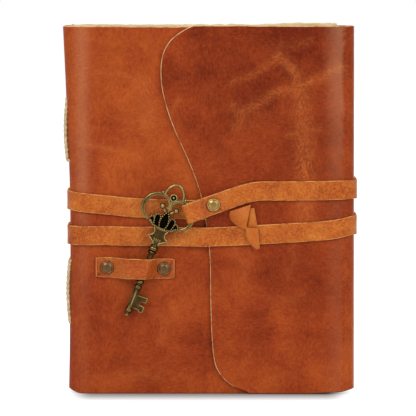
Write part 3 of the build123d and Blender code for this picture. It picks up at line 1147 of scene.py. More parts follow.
            def lay(s: float, t: float) -> Point:
                """Give the point at a share along the grid and a share across it."""
                low = Vector(low_left).lerp(Vector(low_right), s)
                high = Vector(high_left).lerp(Vector(high_right), s)
                spot = low.lerp(high, t)
                across, along = 4.0 * s * (1 - s), 4.0 * t * (1 - t)
                sag = belly * across * (1 - t)
                depth = seat + spot.z - crown * across * along + waves(spot.x, spot.y, self.knot_ripple)
                return (spot.x - 0.4 * sag - bow * along * (1 - s), depth, spot.y - sag)

            piece = sheet_grid(name, *self.knot_cells, lay)
            thicken(piece, self.layout.strap, self.edge_round)
            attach(piece, Body.FLAP.value)
            pieces.append(piece)
        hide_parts("strap_knot")
        return pieces


@dataclass
class KeyHolder:
    """The leather band that the key slides behind, and its two rivets."""

    layout: Layout
    left: float = -62.4
    right: float = -19.0
    width: float = 11.2
    middle_z: float = 70.3
    slope: float = 0.023
    thickness: float = 1.6
    rivets: tuple = (("holder_rivet_left", -56.1), ("holder_rivet_right", -24.7))
    head_radius: float = 3.7
    head_rise: float = 1.5
    columns: int = 70
    rows: int = 12
    edge_round: float = 0.4
    # The arch over the key: where it rises, its slanted crest and its foot
    rise_start: float = -53.0
    rise_end: float = -45.0
    crest: float = -31.2
    slant: float = 4.0
    foot: float = -28.4
    turn: float = 1.0
    corner_cut: float = 0.5
    corner_run: float = 3.0
    cupping: float = 0.1
    # Ripples, each a height, a size and a layer of the noise
    edge_ripple: Point = (0.25, 12.0, 30)
    face_ripple: Point = (0.12, 7.0, 31)
    tone_ripple: Point = (0.4, 14.0, 32)

    def middle(self, x: float) -> float:
        """Give the height of the band's middle line."""
        return self.middle_z - (x - (self.left + self.right) / 2) * self.slope

    def build(self, leather: Material, raw_edge: Material, metal: Material) -> list[Piece]:
        """Build the arched band and its rivets, riding on the cover.

        Args:
            leather: Material of the band's faces.
            raw_edge: Material of its cut edges.
            metal: Material of the rivets.

        Returns:
            The pieces.
        """
        flat_y = self.layout.cover_y - self.thickness - self.layout.slip
        arch_y = node_box("key_holder")[0].y
        routes = []
        for row in range(self.rows + 1):
            crest = self.crest - self.slant * (1.0 - row / self.rows)
            corners = [
                (self.left, flat_y), (self.rise_start, flat_y), (self.rise_end, arch_y), (crest, arch_y),
                (self.foot, flat_y), (self.right, flat_y),
            ]
            routes.append(Route.rounded(corners, self.turn))

        def lay(s: float, t: float) -> Point:
            """Give the point at a share along the grid and a share across it."""
            spot, normal = routes[round(t * self.rows)].at(s)
            edge = 2.0 * t - 1.0
            bow = waves(spot.x, 3.0 * edge, self.edge_ripple)
            spot = spot + normal * (waves(spot.x, t * 9.0, self.face_ripple) - self.cupping * edge**2)
            at_left = ease(self.left + self.corner_run, self.left, spot.x)
            at_right = ease(self.right - self.corner_run, self.right, spot.x)
            corner = self.corner_cut * edge * (at_left + at_right)
            return (spot.x, spot.y, self.middle(spot.x) + edge * self.width / 2 + bow - corner)

        band = sheet_grid("holder_band", self.columns, self.rows, lay)
        thicken(band, self.thickness, self.edge_round)
        paint_points(band, "tone", lambda p: 0.5 + waves(p.x, p.z, self.tone_ripple))
        dress(band, Slot.HOLDER, leather, raw_edge)
        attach(band, Body.COVER.value)
        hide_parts("key_holder")
        pieces = [band]
        for name, x in self.rivets:
            rivet = rivet_head(name + "_cap", (x, flat_y, self.middle(x)), self.head_radius, self.head_rise)
            dress(rivet, Slot.DARK_RIVET, metal)
            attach(rivet, Body.COVER.value)
            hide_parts(name)
            pieces.append(rivet)
        return pieces


def rivet_head(name: str, seat: Point, radius: float, height: float) -> Piece:
    """Turn a set rivet's head: a shallow dome inside a rolled rim that presses into the leather.

    Args:
        name: Name of the piece.
        seat: Middle of the leather face under the head, in millimetres.
        radius: Radius of the head.
        height: Height of the dome over the leather.

    Returns:
        The new closed mesh.
    """
    def lay(s: float, t: float) -> Point:
        """Give the point at a share along the grid and a share across it."""
        out, up = on_section(RIVET_SECTION, t)
        angle = math.tau * s
        reach = radius * out
        return (seat[0] + reach * math.cos(angle), seat[1] - height * up, seat[2] + reach * math.sin(angle))

    head = sheet_grid(name, 40, (len(RIVET_SECTION) - 1) * 3, lay)
    face_out(head)
    shade_smooth(head, 60.0)
    paint_rub_and_shade(head, Vector((0.0, -1.0, 0.0)))
    return head


@dataclass
class SkeletonKey:
    """The cast key: a fluted shank with a bit, a leaf-shaped shield, a beaded crown and two scrolls.

    Its outlines are pairs of v, across the key, and u, along it from the tip.
    """

    tip: Point = (-45.5, -17.5, 44.0)
    lean: float = 21.8
    tilt: float = 2.4
    # Places along the shank and its radius there
    shank: tuple = (
        (0.0, 0.0), (0.05, 1.0), (0.5, 1.35), (2.4, 1.35), (2.8, 1.9), (3.3, 2.15), (4.1, 2.15), (4.6, 1.8),
        (16.2, 1.8), (16.7, 1.95), (17.2, 2.1), (18.0, 2.1), (18.5, 1.5), (19.5, 1.6), (20.2, 2.05),
        (21.0, 2.05), (21.7, 1.55), (37.4, 1.55), (37.8, 2.2), (38.6, 2.55), (39.2, 1.95), (39.9, 2.5),
        (41.0, 2.5), (41.8, 1.9), (43.0, 1.7), (45.5, 1.5), (45.6, 0.0),
    )
    flutes: Pair = (5.0, 16.0)
    flute_fade: float = 0.6
    flute_depth: float = 0.13
    flute_count: int = 6
    bit: tuple = (
        (0.5, 5.4), (4.6, 5.4), (5.0, 4.4), (7.5, 4.7), (7.5, 8.2), (4.6, 8.6), (4.6, 10.2), (7.5, 10.4),
        (7.5, 13.6), (0.5, 13.2),
    )
    shield: tuple = (
        (2.0, 42.4), (2.4, 44.2), (3.9, 45.4), (5.8, 46.7), (4.4, 47.5), (3.5, 48.8), (3.4, 50.3),
        (4.6, 52.2),
    )
    rim_inset: float = 0.35
    ribs: tuple = (-1.5, -0.5, 0.5, 1.5)
    rib_ends: tuple = ((0.8, 42.6), (1.2, 46.8))
    crown_base: tuple = ((-8.3, 55.0), (-4.6, 52.6), (0.0, 52.0), (4.6, 52.6), (8.3, 55.0))
    crown_sides: tuple = (
        ((1.5, 52.6), (2.3, 54.8), (2.4, 57.0), (1.6, 59.8), (0.0, 62.4)),
        ((2.4, 57.4), (3.2, 59.2), (4.9, 59.4), (5.9, 57.8), (5.6, 55.6), (4.9, 53.0)),
        ((5.8, 56.6), (6.9, 57.4), (8.0, 56.6), (8.3, 55.0)),
    )
    crown_depth: float = 0.5
    web_top: Pair = (0.0, 62.0)
    web_side: tuple = (
        (1.6, 61.2), (2.6, 58.4), (3.3, 59.0), (4.7, 59.1), (5.7, 57.7), (6.9, 57.0), (8.1, 55.4),
        (4.6, 52.7),
    )
    scroll_start: Pair = (8.0, 54.7)
    scroll_heading: float = 10.0
    scroll_arcs: tuple = ((7.4, 80.0), (8.3, 90.0), (5.2, 90.0), (1.6, 75.0))
    ball: Pair = (4.0, 64.4)
    ball_stem: Pair = (1.1, 61.4)
    arch: tuple = (
        (-5.4, 70.0), (-5.1, 72.5), (-4.1, 75.0), (-2.3, 77.1), (0.0, 78.0), (2.3, 77.1), (4.1, 75.0),
        (5.1, 72.5), (5.4, 70.0),
    )
    arch_bead: Pair = (1.1, 1.7)
    ring_u: float = 70.6
    ring_radius: float = 1.85
    cup_reach: float = 1.5
    stem: tuple = ((0.0, 61.6), (0.0, 69.4))
    # Plates, each a thickness and a rounding
    bit_plate: Pair = (1.9, 0.3)
    shield_plate: Pair = (2.2, 0.45)
    web_plate: Pair = (0.5, 0.1)
    # Wires, each a half width, a depth as a share of it, cells along it and a level
    rim_wire: tuple = (0.42, 1.0, 40, 1.05)
    rib_wire: tuple = (0.36, 0.9, 8, 1.05)
    base_wire: tuple = (0.95, 0.95, 50)
    loop_wire: tuple = (0.38, 1.0, 26, -0.2)
    ball_stem_wire: tuple = (0.6, 1.0, 10)
    arch_wire: tuple = (0.78, 1.0, 60)
    ring_wire: tuple = (0.58, 1.3, 40)
    cup_wire: tuple = (1.5, 0.25, 12, -0.5)
    stem_wire: tuple = (0.7, 1.0, 12, -0.2)
    # Beads, each a radius and a pitch, and balls, each a level and a radius
    base_bead: Pair = (0.5, 1.25)
    base_bead_level: float = 0.75
    loop_bead: Pair = (0.52, 1.25)
    side_ball: Pair = (0.3, 1.6)
    arch_ball: Pair = (0.2, 0.85)
    eye_ball: Pair = (0.1, 0.8)

    def spot(self, v: float, u: float, w: float = 0.0) -> Point:
        """Place a point of the key: v across it, u along it from the tip and w towards the viewer."""
        lean, tilt = math.radians(self.lean), math.radians(self.tilt)
        along = Vector((math.sin(lean) * math.cos(tilt), -math.sin(tilt), math.cos(lean) * math.cos(tilt)))
        across = Vector((math.cos(lean), 0.0, -math.sin(lean)))
        return tuple(Vector(self.tip) + across * v + along * u + across.cross(along) * w)

    def front(self) -> Vector:
        """Give the direction that the key's face looks to."""
        return (Vector(self.spot(0.0, 0.0, 1.0)) - Vector(self.tip)).normalized()

    def tube(
        self, name: str, route: Route, width: Callable[[float], float], depth: float, groove: float = 0.0,
        steps: int = 60, level: float = 0.0,
    ) -> Piece:
        """Cast a wire along a flat line, closed at both ends.

        Args:
            name: Name of the mesh.
            route: Line in v and u.
            width: Half width by share of the length.
            depth: Half depth as a share of the half width.
            groove: Depth of the groove along the wire's front, as a share of the half width.
            steps: Cells along the wire.
            level: Height of the wire's middle over the key's middle plane.

        Returns:
            The new mesh.
        """
        def lay(s: float, t: float) -> Point:
            """Give the point at a share along the grid and a share across it."""
            middle, side = route.at(s)
            from_end = min(min(s, 1.0 - s) * route.length / width(s), 1.0)
            half = width(s) * math.sqrt(max(0.0, 1.0 - (1.0 - from_end) ** 2))
            angle = math.tau * t
            dip = groove * max(0.0, math.sin(angle)) ** 8
            flat = middle + side * (half * math.cos(angle))
            return self.spot(flat.x, flat.y, level + half * depth * (math.sin(angle) - dip))

        return sheet_grid(name, steps, 16, lay)

    def wire(
        self, name: str, points: Sequence[Pair], half: float, depth: float, steps: int, level: float = 0.0
    ) -> Piece:
        """Cast a wire of one width through points in v and u.

        Args:
            name: Name of the mesh.
            points: Points of its middle line.
            half: Half width.
            depth: Half depth as a share of the half width.
            steps: Cells along the wire.
            level: Height of the wire's middle over the key's middle plane.

        Returns:
            The new mesh.
        """
        route = Route([Vector(point) for point in points])
        return self.tube(name, route, lambda s: half, depth, steps=steps, level=level)

    def beads(self, route: Route, radius: float, pitch: float, level: float) -> list[Piece]:
        """Set a row of beads along a line.

        Args:
            route: Line in v and u.
            radius: Radius of a bead.
            pitch: Distance from bead to bead.
            level: Height of their middles over the key's middle plane.

        Returns:
            The beads.
        """
        count = max(round(route.length / pitch), 1)
        return [self.ball_at(*route.at(step / count)[0], level, radius) for step in range(count + 1)]

    def ball_at(self, v: float, u: float, w: float, radius: float) -> Piece:
        """Add one cast ball.

        Args:
            v: Place across the key.
            u: Place along the key.
            w: Level over the key's middle plane.
            radius: Radius of the ball.

        Returns:
            The new mesh.
        """
        clear_selection()
        bpy.ops.mesh.primitive_uv_sphere_add(
            segments=14, ring_count=9, radius=radius * METRES, location=Vector(self.spot(v, u, w)) * METRES
        )
        bpy.ops.object.transform_apply(location=True)
        ball = named("key_ball")
        add_slots(ball)
        return ball

    def plate(self, name: str, outline: Sequence[Pair], thickness: float, rounding: float) -> Piece:
        """Cast a flat plate with rounded edges.

        Args:
            name: Name of the mesh.
            outline: Its corners in v and u.
            thickness: Its thickness.
            rounding: Width of the rounding along its edges.

        Returns:
            The new mesh.
        """
        mesh = bpy.data.meshes.new(name)
        corners = [Vector(self.spot(v, u)) * METRES for v, u in outline]
        mesh.from_pydata(corners, [], [list(range(len(corners)))])
        piece = bpy.data.objects.new(name, mesh)
        bpy.context.collection.objects.link(piece)
        add_slots(piece)
        apply_modifier(piece, "SOLIDIFY", thickness=thickness * METRES, offset=0.0)
        apply_modifier(piece, "BEVEL", width=rounding * METRES, segments=3, limit_method="ANGLE")
        for face in mesh.polygons:
            face.select = len(face.vertices) > 4
        select_only(piece)
        bpy.context.tool_settings.mesh_select_mode = (False, False, True)
        bpy.ops.object.mode_set(mode="EDIT")
        bpy.ops.mesh.inset(thickness=rounding * METRES)
        bpy.ops.object.mode_set(mode="OBJECT")
        return piece

    def build_shank(self) -> Piece:
        """Turn the shank with its collars, and flute it beside the bit.

        Returns:
            The new mesh.
        """
        low, high = self.flutes

        def lay(s: float, t: float) -> Point:
            """Give the point at a share along the grid and a share across it."""
            u, radius = on_section(self.shank, t)
            angle = math.tau * s
            fluted = ease(low, low + self.flute_fade, u) * ease(high, high - self.flute_fade, u)
            wave = 0.5 + 0.5 * math.cos(self.flute_count * angle)
            radius *= 1.0 - self.flute_depth * fluted * wave
            return self.spot(radius * math.cos(angle), u, radius * math.sin(angle))

        return sheet_grid("key_shank", 48, (len(self.shank) - 1) * 3, lay)

    def build_recess(self) -> Piece:
        """Back the crown's loops with a thin sunk web, blackened as the casting's hollows are.

        Returns:
            The new mesh.
        """
        mirror = [(-v, u) for v, u in reversed(self.web_side)]
        web = self.plate("key_crown_web", [self.web_top, *self.web_side, *mirror], *self.web_plate)
        sunk = self.front() * (-self.crown_depth * METRES)
        for vertex in web.data.vertices:
            vertex.co += sunk
        for face in web.data.polygons:
            face.material_index = 1
        return web

    def build(self, bronze: Material, recess: Material) -> Piece:
        """Build the whole key in one mesh, riding on its own body.

        Args:
            bronze: Material of the casting.
            recess: Material of the blackened web behind the crown.

        Returns:
            The key.
        """
        parts = self.build_stem()
        for side in (-1.0, 1.0):
            parts += self.build_side(side)
        parts += self.build_eye()
        parts.append(self.build_recess())
        for part in parts:
            part.data.materials[0] = bronze
            part.data.materials[1] = recess
        key = join_pieces("key_casting", parts)
        face_out(key)
        shade_smooth(key, 55.0)
        paint_rub_and_shade(key, self.front())
        dress(key, Slot.BRONZE, bronze, recess)
        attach(key, Body.KEY.value)
        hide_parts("key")
        return key

    def build_stem(self) -> list[Piece]:
        """Build the shank with its bit, the ribbed shield and the crown's beaded base.

        Returns:
            The parts.
        """
        mirror = [(-v, u) for v, u in reversed(self.shield)]
        parts = [
            self.build_shank(),
            self.plate("key_bit", self.bit, *self.bit_plate),
            self.plate("key_shield", [*self.shield, *mirror], *self.shield_plate),
        ]
        rim = Route.curved(self.shield)
        for side in (-1.0, 1.0):
            edge = [(side * (spot.x - self.rim_inset), spot.y) for spot in rim.line]
            parts.append(self.wire("key_shield_rim", edge, *self.rim_wire))
        for rib in self.ribs:
            ends = [(rib * fan, u) for fan, u in self.rib_ends]
            parts.append(self.wire("key_rib", ends, *self.rib_wire))
        base = Route.curved(self.crown_base)
        parts.append(self.wire("key_crown_base", base.line, *self.base_wire))
        return parts + self.beads(base, *self.base_bead, self.base_bead_level)

    def build_eye(self) -> list[Piece]:
        """Build the arch at the top, and the eye on its stem inside it.

        Returns:
            The parts.
        """
        ring = Route.turning((0.0, self.ring_u - self.ring_radius), 0.0, ((self.ring_radius, 360.0),))
        cup = [(-self.cup_reach, self.ring_u), (self.cup_reach, self.ring_u)]
        return [
            self.wire("key_arch", Route.curved(self.arch).line, *self.arch_wire),
            self.wire("key_ring", ring.line, *self.ring_wire),
            self.ball_at(0.0, self.ring_u, *self.eye_ball),
            self.wire("key_cup", cup, *self.cup_wire),
            self.wire("key_stem", self.stem, *self.stem_wire),
        ]

    def build_side(self, side: float) -> list[Piece]:
        """Build one side of the bow: crown loops with beads, scroll, ball and the bead beside the arch.

        Args:
            side: One, or minus one for the mirrored side.

        Returns:
            The parts.
        """
        parts = []
        for outline in self.crown_sides:
            loop = Route.curved([(side * v, u) for v, u in outline])
            parts.append(self.wire("key_crown", loop.line, *self.loop_wire))
            parts += self.beads(loop, *self.loop_bead, self.crown_depth)
        scroll = Route.turning(self.scroll_start, self.scroll_heading, self.scroll_arcs)
        scroll = Route([Vector((side * spot.x, spot.y)) for spot in scroll.line])
        parts.append(self.tube(
            "key_scroll", scroll, lambda s: 0.75 + rise(s, 0.5, 0.0, 0.3) - rise(s, 0.55, 0.45, 0.95), 0.9,
            groove=0.22, steps=110,
        ))
        ball_v, ball_u = side * self.ball[0], self.ball[1]
        stem = [(side * self.ball_stem[0], self.ball_stem[1]), (ball_v, ball_u)]
        parts.append(self.wire("key_ball_stem", stem, *self.ball_stem_wire))
        parts.append(self.ball_at(ball_v, ball_u, *self.side_ball))
        foot_v, foot_u = self.arch[-1]
        bead_v, bead_u = side * (foot_v + self.arch_bead[0]), foot_u + self.arch_bead[1]
        parts.append(self.ball_at(bead_v, bead_u, *self.arch_ball))
        return parts


@dataclass
class Pages:
    """Gatherings of handmade paper with deckled edges, and the cords that sew them to the spine."""

    gatherings: int = 5
    sheets: int = 5
    paper: float = 0.26
    deckle: float = 0.9
    leaf_cells: tuple = (90, 44)
    leaf_wave: Pair = (0.12, 30.0)
    nesting: float = 0.8
    fold_round: float = 0.95
    deckle_length: float = 200.0
    # The leaves' lower ends clear the table, and their upper ends rise, by amounts over stretches
    lift: float = 1.4
    lifts: tuple = ((1.2, -60.0, -76.0), (1.6, 44.0, 72.0))
    top_drop: float = 0.6
    top_rise: Point = (0.9, 20.0, 50.0)
    fore_edge_run: float = 20.0
    cord_radius: float = 0.85
    cord_spans: tuple = (("stitches_upper", 129.0, 164.0), ("stitches_lower", 38.7, 74.0))
    cord_gap: float = 0.25
    cord_depth: float = 2.2
    cord_turn: float = 1.4
    cord_bow: float = 1.5
    cord_cells: float = 2.4
    cord_slack: Point = (0.35, 2.0, 40)
    ply_depth: float = 0.16
    ply_twist: float = 2.1
    spine_flat: float = 6.7

    def build(self, paper: Material, cord: Material) -> list[Piece]:
        """Build the gatherings and the stitches, riding on the book.

        Args:
            paper: Material of the leaves.
            cord: Material of the stitches.

        Returns:
            The pieces.
        """
        pieces = []
        for number in range(1, self.gatherings + 1):
            gathering = self.build_gathering(number)
            dress(gathering, Slot.PAPER, paper)
            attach(gathering, Body.BOOK.value)
            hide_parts(f"signature_{number}")
            pieces.append(gathering)
        for name, low, high in self.cord_spans:
            stitches = self.build_stitches(name, low, high)
            dress(stitches, Slot.CORD, cord)
            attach(stitches, Body.BOOK.value)
            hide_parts(name)
            pieces.append(stitches)
        return pieces

    def build_gathering(self, number: int) -> Piece:
        """Fold the sheets of one gathering inside each other.

        Args:
            number: Number of the gathering, from the front.

        Returns:
            The gathering as one mesh.
        """
        low, high = node_box(f"signature_{number}")
        middle = (low.y + high.y) / 2
        pitch = (high.y - low.y) / 2 / self.sheets
        folded = []
        for sheet in range(self.sheets):
            half = (sheet + 0.5) * pitch
            fold_x = low.x + (self.sheets - sheet) * pitch * self.nesting
            front, back = middle - half, middle + half
            corners = [(high.x, front), (fold_x, front), (fold_x, back), (high.x, back)]
            route = Route.rounded(corners, half * self.fold_round)
            seed = number * 10 + sheet

            def lay(s: float, t: float) -> Point:
                """Give the point at a share along the grid and a share across it."""
                spot, _ = route.at(s)
                layer = seed + (0.0 if s < 0.5 else 1.0)
                along = t * self.deckle_length
                outer = ease(fold_x + self.fore_edge_run, high.x, spot.x)
                ragged = waves(along, 5.0, (self.deckle, 7.0, layer), (0.5, 2.2, seed))
                reach = spot.x + outer * (ragged - 0.6 + waves(1.0, 1.0, (0.5, 1.7, layer)))
                torn = waves(spot.x, 9.0, (self.deckle, 9.0, layer), (0.5 * self.deckle, 2.4, layer))
                top = high.z - self.top_drop + rise(spot.x, *self.top_rise) + torn
                lift = self.lift + sum(rise(spot.x, *corner) for corner in self.lifts)
                bottom = low.z + lift + waves(spot.x, 3.0, (0.35, 8.0, layer))
                wave = waves(spot.x, along, (*self.leaf_wave, number))
                return (reach, spot.y + wave, bottom + t * (top - bottom))

            leaf_pair = sheet_grid(f"gathering_{number}_{sheet}", *self.leaf_cells, lay)
            apply_modifier(leaf_pair, "SOLIDIFY", thickness=self.paper * METRES, offset=0.0)
            folded.append(leaf_pair)
        gathering = join_pieces(f"gathering_{number}", folded)
        shade_smooth(gathering, 40.0)
        return gathering

    def build_stitches(self, name: str, low: float, high: float) -> Piece:
        """Lay the long stitches of one station along the spine, one for each gathering.

        Args:
            name: Name of the frame's node.
            low: Height where the cords go in, at the bottom.
            high: Height where they go in, at the top.

        Returns:
            The stitches as one mesh.
        """
        cords = []
        spine = through(Hide.spine_edge, (low + high) / 2)
        for number in range(1, self.gatherings + 1):
            node_low, node_high = node_box(f"signature_{number}")
            y = (node_low.y + node_high.y) / 2
            past_flat = max(abs(y) - self.spine_flat, 0.0)
            surface = spine + Hide.turn - math.sqrt(max(Hide.turn**2 - past_flat**2, 0.0))
            out = surface - self.cord_radius - self.cord_gap
            inside = surface + self.cord_depth
            corners = [(inside, low), (out, low), (out, high), (inside, high)]
            route = Route.rounded(corners, self.cord_turn)
            slack = waves(number * 3.1, low, self.cord_slack)

            def lay(s: float, t: float) -> Point:
                """Give the point at a share along the grid and a share across it."""
                spot, normal = route.at(s)
                angle = math.tau * t
                twist = 2 * angle - route.length * s * self.ply_twist + number
                thick = self.cord_radius * (1.0 + self.ply_depth * math.cos(twist))
                out_way = normal * (thick * math.cos(angle))
                bow = math.sin(math.pi * s)
                x = spot.x + out_way.x - self.cord_bow * (bow - 0.8)
                return (x, y + thick * math.sin(angle) + slack * bow, spot.y + out_way.y)

            cells = round(route.length * self.cord_cells)
            cords.append(sheet_grid(f"{name}_{number}", cells, 14, lay))
        stitches = join_pieces(f"{name}_cord", cords)
        face_out(stitches)
        shade_smooth(stitches, 70.0)
        return stitches


@dataclass(frozen=True)
class PullUpLeather:
    """Oiled pull-up leather, drummed soft: cloudy, finely grained, paler wherever it was creased, and pale
    where a painted sheen stands in for highlights.

    Its real grain and pores are too fine to show, so they are drawn about twice as coarse.
    """

    name: str
    deep: str
    middle: str
    light: str
    creased: str
    # The pale colour is the colour of the painted sheen, a highlight drawn into the leather
    pale: str
    mottle: float = 0.34
    streak_size: float = 1.0
    streak_stretch: float = 0.42
    grain_size: float = 1.2
    grain_swing: float = 0.14
    hair_size: float = 1.5
    hair_stretch: float = 0.14
    hair_width: float = 0.055
    crease_share: float = 0.75
    crease_glow: float = 0.3
    pore_share: float = 0.35
    roughness: float = 0.48
    specular: float = 0.09
    bump: float = 0.3
    bump_depth: float = 0.6

    def make(self) -> Material:
        """Make the material.

        Returns:
            The leather, which reads the piece's attributes tone, painted_sheen, crease_up and crease_across.
        """
        material, tree, shader, place = new_material(self.name)
        read = {
            name: add_node(tree, Kind.ATTRIBUTE, output="Fac", attribute_name=name)
            for name in ("tone", "painted_sheen", "crease_up", "crease_across")
        }
        bent = self.warped(tree, place)
        field = self.patterns(tree, place, bent)
        cells = {
            feature: add_node(tree, Kind.CELLS, {"Vector": where, "Scale": per_mm(size)}, feature=feature)
            for feature, where, size in (
                ("SMOOTH_F1", bent, self.grain_size), ("F1", place, 1.3 * self.grain_size),
            )
        }
        grain = cells["SMOOTH_F1"]
        turn = add_node(tree, Kind.RANGE, (field["turn"], 0.42, 0.58), **SMOOTH)
        apart = add_node(tree, Kind.MATH, (field["streak_up"], field["streak_across"]), operation="SUBTRACT")
        streaks = add_node(tree, Kind.MATH, (turn, apart, field["streak_across"]), operation="MULTIPLY_ADD")
        level = read["tone"]
        for swing, pattern, rest in (
            (3.8 * self.mottle, field["clouds"], 0.5),
            (2.3 * self.mottle, streaks, 0.5),
            (2.0 * self.grain_swing, grain, 0.42),
        ):
            away = add_node(tree, Kind.MATH, (pattern, rest), operation="SUBTRACT")
            level = add_node(tree, Kind.MATH, (away, swing, level), operation="MULTIPLY_ADD")
        colours = add_node(tree, Kind.RAMP, {"Fac": level})
        set_stops(colours, (0.0, self.deep), (0.45, self.middle), (0.95, self.light))
        stray = add_node(tree, Kind.RANGE, (field["stray"], 0.56, 0.72, 0.0, 0.22), **SMOOTH)
        runs = []
        for way in ("up", "across"):
            away = add_node(tree, Kind.MATH, (field[f"hair_{way}"], 0.5), operation="SUBTRACT")
            away = add_node(tree, Kind.MATH, (away,), operation="ABSOLUTE")
            hairs = add_node(tree, Kind.RANGE, (away, self.hair_width, 0.0), **SMOOTH)
            creased = add_node(tree, Kind.MATH, (read[f"crease_{way}"], stray), operation="MAXIMUM")
            runs.append(add_node(tree, Kind.MATH, (hairs, creased), operation="MULTIPLY"))
        lines = add_node(tree, Kind.MATH, runs, operation="MAXIMUM")
        either = add_node(tree, Kind.MATH, (read["crease_up"], read["crease_across"]), operation="MAXIMUM")
        glow = add_node(tree, Kind.MATH, (either, self.crease_glow), operation="MULTIPLY")
        pulled = add_node(tree, Kind.MATH, (lines, self.crease_share, glow), operation="MULTIPLY_ADD")
        pores = add_node(tree, Kind.RANGE, (cells["F1"], 0.3, 0.12), **SMOOTH)
        patches = add_node(tree, Kind.RANGE, (field["pore_patches"], 0.45, 0.62), **SMOOTH)
        pores = add_node(tree, Kind.MATH, (pores, patches), operation="MULTIPLY")
        pores = add_node(tree, Kind.MATH, (pores, self.pore_share), operation="MULTIPLY")
        # painted_sheen mixes in the pale colour as a painted highlight
        for share, code in ((pulled, self.creased), (read["painted_sheen"], self.pale), (pores, self.deep)):
            colours = add_node(tree, Kind.MIX, {0: share, 6: colours, 7: srgb(code)}, 2, data_type="RGBA")
        height = add_node(tree, Kind.MATH, (lines, -0.5, grain), operation="MULTIPLY_ADD")
        height = add_node(tree, Kind.MATH, (field["swells"], 1.6, height), operation="MULTIPLY_ADD")
        bump = {"Strength": self.bump, "Distance": self.bump_depth * METRES, "Height": height}
        dull = (field["gloss"], 0.3, 0.7, self.roughness - 0.08, self.roughness + 0.1)
        wire_up(tree, shader, {
            "Base Color": colours, "Normal": add_node(tree, Kind.BUMP, bump),
            "Roughness": add_node(tree, Kind.RANGE, dull, **SMOOTH), "Specular IOR Level": self.specular,
        })
        return material

    def patterns(self, tree: NodeTree, place: Socket, bent: Socket) -> dict[str, Socket]:
        """Add the noises that the leather is made of.

        Args:
            tree: Node tree of the material.
            place: The object's coordinates.
            bent: The same, bent.

        Returns:
            Each noise by its name.
        """
        table = {
            "turn": (place, 30.0, 1.0, 0.55),
            "clouds": (bent, 24.0, 5.0, 0.62),
            "stray": (place, 26.0, 2.0, 0.55),
            "pore_patches": (place, 6.0, 3.0, 0.55),
            "swells": (place, 9.0, 3.0, 0.55),
            "gloss": (place, 11.0, 3.0, 0.55),
        }
        for name, where, pull, look in (
            ("streak", place, self.streak_stretch, (self.streak_size, 3.0, 0.65)),
            ("hair", bent, self.hair_stretch, (self.hair_size, 2.0, 0.6)),
        ):
            for way, scale in (("up", (1.0, 1.0, pull)), ("across", (pull, 1.0, 1.0))):
                run = add_node(tree, Kind.MAPPING, {"Vector": where, "Scale": scale})
                table[f"{name}_{way}"] = (run, *look)
        return {
            name: add_node(tree, Kind.NOISE, {
                "Vector": where, "Scale": per_mm(size), "Detail": detail, "Roughness": rough,
            })
            for name, (where, size, detail, rough) in table.items()
        }

    def warped(self, tree: NodeTree, place: Socket) -> Socket:
        """Bend the coordinates a few millimetres, so that no pattern runs straight.

        Args:
            tree: Node tree of the material.
            place: The object's coordinates.

        Returns:
            The bent coordinates.
        """
        size = {"Vector": place, "Scale": per_mm(12.0), "Detail": 2.0}
        warp = add_node(tree, Kind.NOISE, size, "Color")
        shift = add_node(tree, Kind.VECTORS, (warp, (0.5, 0.5, 0.5)), operation="SUBTRACT")
        shift = add_node(tree, Kind.VECTORS, {0: shift, "Scale": 12.0 * METRES}, operation="SCALE")
        return add_node(tree, Kind.VECTORS, (place, shift), operation="ADD")


@dataclass(frozen=True)
class FibrousFinish:
    """A surface of fibres: two close colours in clouds, over a nap drawn coarse enough to show."""

    name: str
    light: str
    shade: str
    # Each pattern's size, detail and roughness, the two colours' shares, and the bump's strength and depth
    cloud: Point = (5.0, 4.0, 0.7)
    stops: Pair = (0.36, 0.56)
    nap: Point = (0.7, 3.0, 0.55)
    bump: Pair = (0.3, 0.3)
    roughness: float = 0.85
    specular: float = 0.2

    def make(self) -> Material:
        """Make the material.

        Returns:
            The finish, matt and without reflections that stand out.
        """
        material, tree, shader, place = new_material(self.name)
        clouds, nap = (
            add_node(tree, Kind.NOISE, {
                "Vector": place, "Scale": per_mm(size), "Detail": detail, "Roughness": rough,
            })
            for size, detail, rough in (self.cloud, self.nap)
        )
        colours = add_node(tree, Kind.RAMP, {"Fac": clouds})
        set_stops(colours, (self.stops[0], self.shade), (self.stops[1], self.light))
        strength, depth = self.bump
        bump = {"Strength": strength, "Distance": depth * METRES, "Height": nap}
        wire_up(tree, shader, {
            "Base Color": self.shade_near_floor(tree, place, colours), "Normal": add_node(tree, Kind.BUMP, bump),
            "Roughness": self.roughness, "Specular IOR Level": self.specular,
        })
        return material

    def shade_near_floor(self, tree: NodeTree, place: Socket, colours: Socket) -> Socket:
        """Leave the colours as they are, where a finish has no painted shade near the table."""
        return colours


@dataclass(frozen=True)
class CutEdge(FibrousFinish):
    """Raw side of tanned leather: matt, fibrous, paler than its face, with painted shade where it stands on
    the table.
    """

    # Painted shade near the table: its colour, and the heights where it begins and where it is full
    floor_shade: str = "#6E3A1C"
    floor_shade_height: Pair = (6.0, 3.0)

    def shade_near_floor(self, tree: NodeTree, place: Socket, colours: Socket) -> Socket:
        """Darken the colours near the table with painted shade.

        Args:
            tree: Node tree of the material.
            place: The object's coordinates.
            colours: The colours before the shade.

        Returns:
            The colours with the painted shade.
        """
        height = add_node(tree, Kind.SEPARATE, {"Vector": place}, "Z")
        open_height, shaded_height = self.floor_shade_height
        share = add_node(tree, Kind.RANGE, (height, open_height * METRES, shaded_height * METRES), **SMOOTH)
        return add_node(tree, Kind.MIX, {0: share, 6: colours, 7: srgb(self.floor_shade)}, 2, data_type="RGBA")


@dataclass(frozen=True)
class HandmadePaper(FibrousFinish):
    """Handmade cotton paper, pulled on a mould: warm, matt, faintly cloudy, with stray fibres."""

    cloud: Point = (8.0, 5.0, 0.65)
    stops: Pair = (0.3, 0.62)
    nap: Point = (1.1, 4.0, 0.55)
    bump: Pair = (0.25, 0.2)
    roughness: float = 0.9


